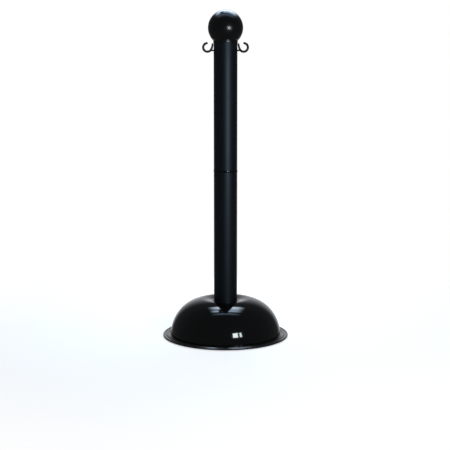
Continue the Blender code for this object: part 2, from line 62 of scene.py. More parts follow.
# Sizes that more than one sub-assembly uses
FIT = 0.3  # the gap between pieces that touch
TUBE_WALL = 3.0
SCREW_SHANK_R = 2.0
PLUG_NECK_R = 13.0
HOOK_BEND_R = 13.3
HOOK_ROD_R = 3.65
STEM_ANGLE = -135.0
STEM_SIDE = 5.0
BARB_SIDE = 7.0
FLUTES = 16
FLUTE_MARGIN = 4.0  # how far a sleeve's flutes stay from its open end
COLLAR_MARGIN = 3.0  # how far they stay from its ring or collar

LOG = logging.getLogger("stanchion")

Point = tuple[float, float]
Corner = tuple[float, float, float]
Place = tuple[float, float, float]
Fade = tuple[float, float, float, float]
Piece = bpy.types.Object


class Body(Enum):
    """The CAD bodies that pieces ride on."""

    BASE = "base"
    FILL_PLUG = "fill_plug"
    LOWER_POST = "lower_post"
    COUPLER = "coupler"
    UPPER_POST = "upper_post"
    BALL = "ball"


class Slot(Enum):
    """The record's material slots."""

    GLOSS_BLACK = "gloss_black"
    SATIN_BLACK = "satin_black"
    HOOK_BLACK = "hook_black"
    DULL_BLACK = "dull_black"
    ZINC = "zinc"
    RUBBER = "rubber"
    SAND = "sand"


class Joining(Enum):
    """How one closed shape is combined with another."""

    ADD = "UNION"
    CUT = "DIFFERENCE"


@dataclass(frozen=True)
class Room:
    """The box that a CAD node fills, in millimetres."""

    low: Vector
    high: Vector

    @classmethod
    def of(cls, node: str) -> "Room":
        """Read a node's box from the frame.

        Args:
            node: The CAD node's name.

        Returns:
            The node's box.
        """
        low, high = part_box(node)
        return cls(low / MM, high / MM)

    @property
    def centre(self) -> Vector:
        """The middle of the box."""
        return (self.low + self.high) / 2

    @property
    def radius(self) -> float:
        """Half the box's width along X."""
        return (self.high.x - self.low.x) / 2


# The workbench: how every piece is made


def clear_bench() -> None:
    """Leave edit mode and let go of everything that is selected."""
    if bpy.context.object and bpy.context.object.mode != "OBJECT":
        bpy.ops.object.mode_set(mode="OBJECT")
    bpy.ops.object.select_all(action="DESELECT")


def take(piece: Piece) -> None:
    """Select one piece alone and make it the active one.

    Args:
        piece: The piece to work on.
    """
    clear_bench()
    piece.select_set(True)
    bpy.context.view_layer.objects.active = piece


def label(name: str) -> Piece:
    """Name the piece that an operator has just added.

    Args:
        name: The piece's name.

    Returns:
        The piece.
    """
    piece = bpy.context.object
    piece.name = piece.data.name = name
    return piece


def shape(piece: Piece) -> None:
    """Open a piece for shaping, with all of its mesh selected.

    Args:
        piece: The piece to shape.
    """
    take(piece)
    bpy.ops.object.mode_set(mode="EDIT")
    bpy.ops.mesh.select_all(action="SELECT")


def close(piece: Piece) -> None:
    """Merge a shaped piece's doubles, turn its faces outwards and leave edit mode.

    Args:
        piece: The piece, open in edit mode.
    """
    bpy.ops.mesh.select_all(action="SELECT")
    bpy.ops.mesh.remove_doubles(threshold=WELD)
    bpy.ops.mesh.normals_make_consistent(inside=False)
    bpy.ops.object.mode_set(mode="OBJECT")
    smooth(piece)


def smooth(piece: Piece) -> None:
    """Shade a piece smooth, apart from its real edges.

    Args:
        piece: The piece to shade.
    """
    take(piece)
    bpy.ops.object.shade_smooth_by_angle(angle=SMOOTH_BELOW)


def pick_faces(piece: Piece, wanted: Callable[[Vector, Vector], bool]) -> int:
    """Select the faces of a piece in edit mode that pass a test, and no others.

    Args:
        piece: The piece, open in edit mode.
        wanted: Takes a face's centre in millimetres and its normal, and says whether it is wanted.

    Returns:
        How many faces are selected.
    """
    bpy.ops.mesh.select_mode(type="FACE")
    bpy.ops.mesh.select_all(action="DESELECT")
    shell = bmesh.from_edit_mesh(piece.data)
    count = 0
    for face in shell.faces:
        if wanted(face.calc_center_median() / MM, face.normal):
            face.select_set(True)
            count += 1
    shell.select_flush_mode()
    bmesh.update_edit_mesh(piece.data)
    return count


def eased(corners: Sequence[Corner]) -> list[Point]:
    """Round the corners of an outline that ask for it.

    Args:
        corners: (radius, height, easing) of each corner. An easing of 0 keeps it sharp.

    Returns:
        The outline's points, with each eased corner as a short curve.
    """
    points: list[Point] = []
    last = len(corners) - 1
    for i, (r, z, easing) in enumerate(corners):
        if easing == 0 or i in (0, last):
            points.append((r, z))
            continue
        here = Vector((r, z))
        back = Vector(corners[i - 1][:2]) - here
        ahead = Vector(corners[i + 1][:2]) - here
        reach = min(easing, CORNER_SHARE * back.length, CORNER_SHARE * ahead.length)
        start = here + back.normalized() * reach
        end = here + ahead.normalized() * reach
        for k in range(CORNER_STEPS + 1):
            t = k / CORNER_STEPS
            spot = start * (1 - t) ** 2 + here * 2 * t * (1 - t) + end * t * t
            points.append((spot.x, spot.y))
    return points


def sharp(points: Sequence[Point]) -> list[Corner]:
    """Give points of a curve no easing, so that they can stand among corners.

    Args:
        points: (radius, height) of each point.

    Returns:
        The same points as corners.
    """
    return [(r, z, 0.0) for r, z in points]


def turned(name: str, outline: Sequence[Point], facets: int, loop: bool = True) -> Piece:
    """Turn a solid about the post's axis, as on a lathe.

    Args:
        name: The piece's name.
        outline: (radius, height) of each point of the section.
        facets: How many facets go round.
        loop: Whether the section is closed. One that starts and ends on the axis is left open.

    Returns:
        The turned piece.
    """
    clear_bench()
    bpy.ops.mesh.primitive_plane_add(size=MM, location=(0, 0, 0))
    piece = label(name)
    shape(piece)
    bpy.ops.mesh.merge(type="CENTER")
    path = [*outline, outline[0]] if loop else list(outline)
    bpy.ops.transform.translate(value=(path[0][0] * MM, 0, path[0][1] * MM))
    for (r0, z0), (r1, z1) in zip(path, path[1:]):
        step = ((r1 - r0) * MM, 0, (z1 - z0) * MM)
        bpy.ops.mesh.extrude_region_move(TRANSFORM_OT_translate={"value": step})
    bpy.ops.mesh.select_all(action="SELECT")
    bpy.ops.mesh.remove_doubles(threshold=WELD)
    bpy.ops.mesh.spin(steps=facets, angle=2 * pi, center=(0, 0, 0), axis=(0, 0, 1))
    close(piece)
    return piece


def block(name: str, low: Vector, high: Vector, edge: float = 0.0) -> Piece:
    """Make a block between two corners, with its edges softened.

    Args:
        name: The piece's name.
        low: Its lowest corner.
        high: Its highest corner.
        edge: The width of the softened edges, or 0 for none.

    Returns:
        The block.
    """
    clear_bench()
    bpy.ops.mesh.primitive_cube_add(size=1, location=(0, 0, 0))
    piece = label(name)
    shape(piece)
    bpy.ops.transform.resize(value=(high - low) * MM)
    bpy.ops.transform.translate(value=(high + low) / 2 * MM)
    if edge:
        bpy.ops.mesh.bevel(offset=edge * MM, segments=3, affect="EDGES")
    close(piece)
    return piece


def put(piece: Piece, place: Matrix) -> Piece:
    """Move a piece's mesh to its place and leave its object at the origin.

    Args:
        piece: The piece to move.
        place: Where it goes, with distances in metres.

    Returns:
        The same piece.
    """
    take(piece)
    piece.matrix_world = place
    bpy.ops.object.transform_apply(location=True, rotation=True, scale=True)
    return piece


def copy_of(piece: Piece, name: str, place: Matrix) -> Piece:
    """Copy a piece, with a mesh of its own, to another place.

    Args:
        piece: The piece to copy.
        name: The copy's name.
        place: Where the copy goes, as a move of the original.

    Returns:
        The copy.
    """
    take(piece)
    bpy.ops.object.duplicate()
    return put(label(name), place)


def combine(piece: Piece, other: Piece, how: Joining) -> Piece:
    """Add a closed shape to a piece, or cut it out. The other shape is used up.

    Args:
        piece: The piece that stays.
        other: The shape that is added or cut out.
        how: Which of the two is done.

    Returns:
        The piece that stays.
    """
    take(piece)
    modifier = piece.modifiers.new("combine", "BOOLEAN")
    modifier.operation = how.value
    modifier.solver = "EXACT"
    modifier.object = other
    bpy.ops.object.modifier_apply(modifier=modifier.name)
    bpy.data.objects.remove(other)
    smooth(piece)
    return piece


def merged(piece: Piece, others: Sequence[Piece]) -> Piece:
    """Put other shapes into a piece's mesh as they are.

    Args:
        piece: The piece that takes them in.
        others: The shapes that become part of it.

    Returns:
        The piece.
    """
    take(piece)
    for other in others:
        other.select_set(True)
    bpy.ops.object.join()
    return piece


def ring_of(piece: Piece, count: int) -> Piece:
    """Repeat a piece evenly round the post's axis, in one mesh.

    Args:
        piece: The first of them.
        count: How many there are.

    Returns:
        The whole ring.
    """
    name = piece.name
    others = [copy_of(piece, f"{name}_{i}", turn(2 * pi * i / count)) for i in range(1, count)]
    return merged(piece, others)


def soften(piece: Piece, width: float) -> Piece:
    """Bevel all of a shaped piece's edges, and close it.

    Args:
        piece: The piece, open in edit mode.
        width: The width of the softened edges.

    Returns:
        The piece.
    """
    bpy.ops.mesh.select_mode(type="EDGE")
    bpy.ops.mesh.select_all(action="SELECT")
    bpy.ops.mesh.bevel(offset=width * MM, segments=2, affect="EDGES")
    bpy.ops.mesh.select_mode(type="VERT")
    close(piece)
    return piece


def turn(angle: float) -> Matrix:
    """A turn about the post's axis, by an angle in radians."""
    return Matrix.Rotation(angle, 4, "Z")


def shift(x: float, y: float, z: float = 0.0) -> Matrix:
    """A move by distances in millimetres."""
    return Matrix.Translation(Vector((x, y, z)) * MM)


def arc(centre: Point, radius: float, start: float, end: float, steps: int) -> list[Point]:
    """Points on an arc, both ends included.

    Args:
        centre: The arc's centre.
        radius: Its radius.
        start: The first point's angle, in degrees.
        end: The last point's angle, in degrees.
        steps: How many straight runs make it up.

    Returns:
        The arc's points.
    """
    angles = [radians(start + (end - start) * i / steps) for i in range(steps + 1)]
    return [(centre[0] + radius * cos(a), centre[1] + radius * sin(a)) for a in angles]


def bulge(start: Point, end: Point, rise: float, steps: int) -> list[Point]:
    """Points on an arc that stands proud of the straight line between two points.

    Args:
        start: Where it starts.
        end: Where it ends. The arc is on the right of the way there.
        rise: How far its middle stands proud.
        steps: How many straight runs make it up.

    Returns:
        The arc's points.
    """
    chord = Vector(end) - Vector(start)
    half = chord.length / 2
    swell = (half**2 + rise**2) / (2 * rise)
    lean = asin(half / swell)
    ahead = chord.normalized()
    side = Vector((ahead.y, -ahead.x))
    centre = (Vector(start) + Vector(end)) / 2 + side * (rise - swell)
    angles = [lean * (2 * i / steps - 1) for i in range(steps + 1)]
    spots = [centre + (side * cos(a) + ahead * sin(a)) * swell for a in angles]
    return [(spot.x, spot.y) for spot in spots]


def in_stripe(centre: Vector, stripes: int, share: float) -> bool:
    """Whether a point lies on one of the stripes that run along the post, evenly round it.

    Args:
        centre: The point.
        stripes: How many stripes there are.
        share: How much of the way round they take up together.

    Returns:
        True on a stripe.
    """
    way = atan2(centre.y, centre.x) / (2 * pi) * stripes
    return (way - floor(way)) < share


def flute(piece: Piece, radius: float, low: float, high: float) -> None:
    """Sink shallow lengthwise grooves into a sleeve, so that it grips on the lands between them.

    Args:
        piece: The piece with the sleeve.
        radius: The sleeve's outer radius.
        low: The height above which a face's centre counts as the sleeve's.
        high: The height below which it does.
    """
    depth = 0.7
    near = 0.3
    upright = 0.1
    shape(piece)

    def on_sleeve(centre: Vector, normal: Vector) -> bool:
        """Whether a face belongs to a groove.

        Args:
            centre: The face's centre.
            normal: Its normal.

        Returns:
            True for a face on the sleeve's outside, in every other stripe.
        """
        away = abs(hypot(centre.x, centre.y) - radius)
        if away > near or not low < centre.z < high or abs(normal.z) > upright:
            return False
        return in_stripe(centre, FLUTES, 0.5) and normal.xy.dot(centre.xy) > 0

    if pick_faces(piece, on_sleeve):
        bpy.ops.mesh.inset(thickness=depth * MM, depth=-depth * MM)
    bpy.ops.mesh.select_mode(type="VERT")
    close(piece)


# Finishes


class Signal:
    """One output of a finish's node tree. Arithmetic on it adds Math nodes."""

    def __init__(self, board: "Board", socket: bpy.types.NodeSocket) -> None:
        """Wrap a socket.

        Args:
            board: The node tree that the socket is in.
            socket: The socket.
        """
        self.board = board
        self.socket = socket

    def _math(self, operation: str, first: "Signal | float", second: "Signal | float") -> "Signal":
        """Add a Math node.

        Args:
            operation: The node's operation.
            first: Its first value.
            second: Its second value.

        Returns:
            The result.
        """
        return self.board.node("ShaderNodeMath", {"operation": operation}, {0: first, 1: second})

    def __add__(self, other: "Signal | float") -> "Signal":
        """self + other."""
        return self._math("ADD", self, other)

    def __radd__(self, other: float) -> "Signal":
        """other + self."""
        return self._math("ADD", other, self)

    def __sub__(self, other: "Signal | float") -> "Signal":
        """self - other."""
        return self._math("SUBTRACT", self, other)

    def __rsub__(self, other: float) -> "Signal":
        """other - self."""
        return self._math("SUBTRACT", other, self)

    def __mul__(self, other: "Signal | float") -> "Signal":
        """self * other."""
        return self._math("MULTIPLY", self, other)

    def __rmul__(self, other: float) -> "Signal":
        """other * self."""
        return self._math("MULTIPLY", other, self)

    def __abs__(self) -> "Signal":
        """The size of self, without its sign."""
        return self._math("ABSOLUTE", self, 0.0)


Value = Signal | float
Colour = tuple[float, float, float]


class Owner(Enum):
    """What a node tree belongs to, and so the kind of its output node."""

    MATERIAL = "ShaderNodeOutputMaterial"
    LAMP = "ShaderNodeOutputLight"
    WORLD = "ShaderNodeOutputWorld"


class Board:
    """The node tree of a material, a lamp or the world."""

    def __init__(self, holder: bpy.types.ID, owner: Owner) -> None:
        """Start with no nodes but the output.

        Args:
            holder: The material, lamp or world.
            owner: Which of them it is.
        """
        self.holder = holder
        holder.use_nodes = True
        self.tree = holder.node_tree
        self.tree.nodes.clear()
        self.output = self.tree.nodes.new(owner.value)

    @classmethod
    def of_material(cls, name: str) -> "Board":
        """Start a new material.

        Args:
            name: The material's name.

        Returns:
            Its board.
        """
        return cls(bpy.data.materials.new(name), Owner.MATERIAL)

    def finish_with(self, shader: "Signal") -> bpy.types.ID:
        """Link the last shader to the output.

        Args:
            shader: The shader.

        Returns:
            The material, lamp or world.
        """
        self.tree.links.new(shader.socket, self.output.inputs["Surface"])
        return self.holder

    def node(
        self,
        kind: str,
        settings: dict[str, object] | None = None,
        inputs: dict[int | str, object] | None = None,
        output: int | str = 0,
    ) -> Signal:
        """Add any node.

        Args:
            kind: The node's type.
            settings: Its settings, set first. "stops" gives a ramp's (place, colour) stops.
            inputs: A value or a signal for each socket, by name or number.
            output: Which of its outputs to return.

        Returns:
            The chosen output.
        """
        made = self.tree.nodes.new(kind)
        for key, value in (settings or {}).items():
            if key == "stops":
                self._set_stops(made.color_ramp, value)
            else:
                setattr(made, key, value)
        for key, value in (inputs or {}).items():
            if isinstance(value, Signal):
                self.tree.links.new(value.socket, made.inputs[key])
            else:
                made.inputs[key].default_value = value
        return Signal(self, made.outputs[output])

    @staticmethod
    def _set_stops(ramp: bpy.types.ColorRamp, stops: Sequence[tuple[float, Colour]]) -> None:
        """Set a colour ramp's stops.

        Args:
            ramp: The ramp.
            stops: (place, colour) of each stop, at least two.
        """
        while len(ramp.elements) < len(stops):
            ramp.elements.new(1.0)
        for element, (place, colour) in zip(ramp.elements, stops):
            element.position = place
            element.color = (*colour, 1)

    def place(self, stretch: Place = (1, 1, 1)) -> Signal:
        """The place on the piece, in metres, stretched for patterns that run one way.

        Args:
            stretch: How much faster the pattern changes along each axis.

        Returns:
            The place, as a vector.
        """
        spot = self.node("ShaderNodeTexCoord", output="Object")
        if stretch == (1, 1, 1):
            return spot
        return self.node("ShaderNodeMapping", {}, {"Vector": spot, "Scale": stretch})

    def noise(self, scale: float, detail: float = 2.0, stretch: Place = (1, 1, 1)) -> Signal:
        """Smooth random variation from 0 to 1.

        Args:
            scale: How many features there are to a metre.
            detail: How many finer layers are added.
            stretch: As for place().

        Returns:
            The variation.
        """
        inputs = {"Vector": self.place(stretch), "Scale": scale, "Detail": detail}
        return self.node("ShaderNodeTexNoise", {}, inputs)

    def between(self, value: Signal, low: float, high: float, soft: bool = True) -> Signal:
        """Turn a value into 0 below low, 1 above high, and a ramp between.

        Args:
            value: The value.
            low: Where the ramp starts.
            high: Where it ends. It may be below low.
            soft: Whether the ramp eases in and out.

        Returns:
            A mask from 0 to 1.
        """
        kind = "SMOOTHSTEP" if soft else "LINEAR"
        inputs = {"Value": value, "From Min": low, "From Max": high}
        return self.node("ShaderNodeMapRange", {"interpolation_type": kind}, inputs)

    def axis(self, letter: str) -> Signal:
        """One coordinate of the place on the piece, in metres.

        Args:
            letter: X, Y or Z.

        Returns:
            The coordinate.
        """
        return self.node("ShaderNodeSeparateXYZ", {}, {0: self.place()}, letter)

    def blend(self, factor: Value, first: "Signal | Colour", second: "Signal | Colour") -> Signal:
        """Mix two colours.

        Args:
            factor: 0 for the first colour, 1 for the second.
            first: The first colour.
            second: The second colour.

        Returns:
            The mixed colour.
        """
        a, b = (c if isinstance(c, Signal) else (*c, 1) for c in (first, second))
        inputs = {0: factor, 6: a, 7: b}
        return self.node("ShaderNodeMix", {"data_type": "RGBA"}, inputs, 2)

    def ramp(self, value: Signal, stops: Sequence[tuple[float, Colour]]) -> Signal:
        """Look a value up in a row of colours.

        Args:
            value: The value, from 0 to 1.
            stops: (place, colour) of each stop.

        Returns:
            The colour.
        """
        return self.node("ShaderNodeValToRGB", {"stops": stops}, {0: value})

    def relief(self, height: Signal, depth: float, under: Signal | None = None) -> Signal:
        """Raise a surface's normals by a height pattern.

        Args:
            height: The pattern, from 0 to 1.
            depth: How high 1 stands, in millimetres.
            under: The normals that this relief lies on.

        Returns:
            The normals.
        """
        inputs: dict[int | str, object] = {"Height": height, "Distance": depth * MM, "Strength": 1.0}
        if under:
            inputs["Normal"] = under
        return self.node("ShaderNodeBump", {}, inputs)

    def surface(self, **sockets: object) -> bpy.types.Material:
        """Finish the material with its shader.

        Args:
            sockets: A value or a signal for each shader socket, with _ for a space in its name.

        Returns:
            The material.
        """
        inputs = {key.replace("_", " "): value for key, value in sockets.items()}
        return self.finish_with(self.node("ShaderNodeBsdfPrincipled", {}, inputs))


@dataclass(frozen=True)
class Finish:
    """A finish's name, the slot that it stands for and the two shades that it wanders between."""

    name: str
    slot: Slot
    shade: Colour
    other_shade: Colour

    def material(self) -> bpy.types.Material:
        """Build the finish's material."""
        raise NotImplementedError


@dataclass(frozen=True)
class GlossMoulding(Finish):
    """Polished black plastic: a faint orange peel, wipe marks, hairline scratches and floor dust."""

    name: str = "gloss_moulding"
    slot: Slot = Slot.GLOSS_BLACK
    shade: Colour = (0.0013, 0.0013, 0.0015)
    other_shade: Colour = (0.0021, 0.0021, 0.0023)
    dust: Colour = (0.060, 0.057, 0.053)
    gloss: float = 0.07
    peel: float = 0.0030
    dust_top: float = 0.0095

    @cache
    def material(self) -> bpy.types.Material:
        """Build the polished plastic.

        Returns:
            The material.
        """
        board = Board.of_material(self.name)
        wipe = board.noise(26, 3, (1, 1, 2.2))
        smears = board.between(wipe, 0.52, 0.78)
        hairs = board.between(board.noise(420, 1, (1, 0.06, 0.5)), 0.70, 0.74)
        more_hairs = board.between(board.noise(510, 1, (0.07, 1, 0.4)), 0.71, 0.75)
        scratch = (hairs + more_hairs) * board.between(board.noise(18, 1), 0.45, 0.65)
        specks = board.between(board.noise(1900, 0), 0.66, 0.75)
        near_floor = board.between(board.axis("Z"), self.dust_top, 0.003)
        dusty = near_floor * (0.10 + 0.5 * board.noise(60, 4)) + specks * 0.03
        body = board.blend(board.noise(9, 2), self.shade, self.other_shade)
        colour = board.blend(dusty, body, self.dust)
        roughness = self.gloss + smears * 0.045 + scratch * 0.10 + dusty * 0.35
        peel = board.relief(board.noise(210, 1), self.peel)
        normal = board.relief(1 - scratch, 0.0010, peel)
        return board.surface(
            Base_Color=colour, Roughness=roughness, Normal=normal, Specular_IOR_Level=0.5
        )


@dataclass(frozen=True)
class SatinPlastic(Finish):
    """Satin black plastic of the post: a fine grain, lengthwise handling marks and a few rubs."""

    name: str = "satin_coat"
    slot: Slot = Slot.SATIN_BLACK
    shade: Colour = (0.0013, 0.0013, 0.0014)
    other_shade: Colour = (0.0022, 0.0022, 0.0023)
    rub: Colour = (0.012, 0.012, 0.012)
    sheen_tint: Colour = (0.60, 0.79, 1.0)
    satin: float = 0.43
    grain_depth: float = 0.0014
    wave_depth: float = 0.0015

    @cache
    def material(self) -> bpy.types.Material:
        """Build the satin plastic.

        Returns:
            The material.
        """
        board = Board.of_material(self.name)
        cloud = board.noise(14, 3, (1, 1, 0.35))
        marks = board.between(board.noise(260, 2, (1, 1, 0.05)), 0.60, 0.70)
        rubs = board.between(board.noise(75, 3, (1, 1, 0.4)), 0.66, 0.76)
        grain = board.noise(1700, 1)
        coarse = board.noise(420, 2)
        body = board.blend(cloud, self.shade, self.other_shade)
        colour = board.blend(rubs * 0.30 + marks * 0.08, body, self.rub)
        roughness = self.satin + cloud * 0.06 + marks * 0.05 - rubs * 0.06
        wavy = board.relief(coarse, self.wave_depth)
        return board.surface(
            Base_Color=colour,
            Roughness=roughness,
            Normal=board.relief(grain, self.grain_depth, wavy),
            Specular_IOR_Level=0.5,
            Specular_Tint=(*self.sheen_tint, 1),
        )


@dataclass(frozen=True)
class HookPlastic(Finish):
    """Tough black plastic of the hooks: a mould's parting line, and a polish where ropes rub."""

    name: str = "hook_plastic"
    slot: Slot = Slot.HOOK_BLACK
    shade: Colour = (0.0010, 0.0010, 0.0010)
    other_shade: Colour = (0.0018, 0.0018, 0.0018)
    rubbed: Colour = (0.008, 0.008, 0.008)
    satin: float = 0.34
    line_half: float = 0.00018

    @cache
    def material(self) -> bpy.types.Material:
        """Build the hooks' plastic.

        Returns:
            The material.
        """
        board = Board.of_material(self.name)
        line = board.between(abs(board.axis("Y")), self.line_half, self.line_half * 0.4)
        grain = board.noise(2300, 2)
        rub = board.between(board.noise(240, 3), 0.55, 0.72)
        body = board.blend(board.noise(60, 2), self.shade, self.other_shade)
        colour = board.blend(rub * 0.35, body, self.rubbed)
        roughness = self.satin - rub * 0.10 + board.noise(110, 2) * 0.08
        normal = board.relief(line, 0.05, board.relief(grain, 0.006))
        return board.surface(
            Base_Color=colour, Roughness=roughness, Normal=normal, Specular_IOR_Level=0.5
        )


@dataclass(frozen=True)
class DullMoulding(Finish):
    """Unpolished black plastic under the base: spark-eroded mould grain, flow marks and scuffs."""

    name: str = "dull_moulding"
    slot: Slot = Slot.DULL_BLACK
    shade: Colour = (0.012, 0.012, 0.013)
    other_shade: Colour = (0.020, 0.020, 0.021)
    scuff: Colour = (0.075, 0.073, 0.070)
    matt: float = 0.52

    @cache
    def material(self) -> bpy.types.Material:
        """Build the unpolished plastic.

        Returns:
            The material.
        """
        board = Board.of_material(self.name)
        cells = {"Vector": board.place(), "Scale": 1100.0}
        grain = board.node("ShaderNodeTexVoronoi", {"feature": "SMOOTH_F1"}, cells, "Distance")
        flow = board.noise(17, 5)
        scuffs = board.between(board.noise(130, 3, (0.25, 1, 1)), 0.60, 0.72)
        other_way = board.between(board.noise(150, 3, (1, 0.22, 1)), 0.62, 0.74)
        low = board.between(board.axis("Z"), 0.0052, 0.0034)
        worn = (scuffs + other_way) * (0.25 + 0.55 * low)
        body = board.blend(flow, self.shade, self.other_shade)
        colour = board.blend(worn, body, self.scuff)
        roughness = self.matt + flow * 0.12 + worn * 0.15
        normal = board.relief(grain, 0.018, board.relief(flow, 0.03))
        return board.surface(
            Base_Color=colour, Roughness=roughness, Normal=normal, Specular_IOR_Level=0.4
        )


@dataclass(frozen=True)
class ZincPlate(Finish):
    """Bright zinc plate on the screws, with dull patches and driver marks."""

    name: str = "zinc_plate"
    slot: Slot = Slot.ZINC
    shade: Colour = (0.50, 0.52, 0.55)
    other_shade: Colour = (0.72, 0.73, 0.74)
    dull: Colour = (0.30, 0.29, 0.27)
    bright: float = 0.24

    @cache
    def material(self) -> bpy.types.Material:
        """Build the plated steel.

        Returns:
            The material.
        """
        board = Board.of_material(self.name)
        patches = board.noise(420, 4)
        tarnish = board.between(board.noise(900, 3), 0.56, 0.72)
        drags = board.between(board.noise(2600, 2, (1, 0.12, 1)), 0.58, 0.70)
        body = board.blend(patches, self.shade, self.other_shade)
        colour = board.blend(tarnish * 0.5, body, self.dull)
        roughness = self.bright + tarnish * 0.28 + drags * 0.16
        normal = board.relief(drags, 0.008, board.relief(patches, 0.01))
        return board.surface(Base_Color=colour, Metallic=1.0, Roughness=roughness, Normal=normal)


@dataclass(frozen=True)
class Rubber(Finish):
    """Black rubber with a fine skin, a pale bloom and floor grit pressed into it."""

    name: str = "rubber"
    slot: Slot = Slot.RUBBER
    shade: Colour = (0.014, 0.014, 0.014)
    other_shade: Colour = (0.028, 0.027, 0.026)
    grit: Colour = (0.16, 0.15, 0.13)
    dull: float = 0.74

    @cache
    def material(self) -> bpy.types.Material:
        """Build the rubber.

        Returns:
            The material.
        """
        board = Board.of_material(self.name)
        bloom = board.noise(180, 4)
        skin = board.noise(3200, 2)
        near_floor = board.between(board.axis("Z"), 0.0016, 0.0002)
        bits = board.between(board.noise(1400, 3), 0.58, 0.68) * near_floor
        colour = board.blend(bits, board.blend(bloom, self.shade, self.other_shade), self.grit)
        roughness = self.dull + bloom * 0.16
        normal = board.relief(skin, 0.012, board.relief(bits, 0.04))
        return board.surface(
            Base_Color=colour, Roughness=roughness, Normal=normal, Specular_IOR_Level=0.35
        )


@dataclass(frozen=True)
class DrySand(Finish):
    """Washed sand: grains of a millimetre in quartz, ochre and brown, damp where it has settled."""

    name: str = "dry_sand"
    slot: Slot = Slot.SAND
    shade: Colour = (0.52, 0.41, 0.27)
    other_shade: Colour = (0.36, 0.25, 0.14)
    quartz: Colour = (0.74, 0.68, 0.56)
    flint: Colour = (0.10, 0.08, 0.06)

    @cache
    def material(self) -> bpy.types.Material:
        """Build the sand.

        Returns:
            The material.
        """
        board = Board.of_material(self.name)
        cells = {"Vector": board.place(), "Scale": 950.0}
        tint = board.node("ShaderNodeTexVoronoi", {}, cells, "Color")
        pick = board.node("ShaderNodeSeparateColor", {}, {0: tint})
        domes = board.node("ShaderNodeTexVoronoi", {}, cells, "Distance")
        stops = ((0.0, self.flint), (0.10, self.other_shade), (0.55, self.shade), (1.0, self.quartz))
        grains = board.ramp(pick, stops)
        damp = board.between(board.noise(24, 4), 0.42, 0.66)
        colour = board.blend(damp * 0.35, grains, self.other_shade)
        normal = board.relief(1 - domes, 0.5, board.relief(board.noise(45, 3), 2.0))
        return board.surface(Base_Color=colour, Roughness=0.95 - damp * 0.12, Normal=normal)


def hand_over(piece: Piece, body: Body, finish: Finish, *nodes: str) -> Piece:
    """Dress a finished piece, tie it to its body and report it.

    Args:
        piece: The piece, with its place in its mesh.
        body: The CAD body that it moves with.
        finish: What it is made of.
        nodes: The CAD nodes that it stands for.

    Returns:
        The piece.
    """
    piece.data.materials.clear()
    piece.data.materials.append(finish.material())
    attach(piece, body.value)
    if nodes:
        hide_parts(*nodes)
    box = [round(side / MM, 1) for side in piece.dimensions]
    LOG.info("%s on %s, %s, %s mm", piece.name, body.value, finish.slot.value, box)
    return piece


# The base


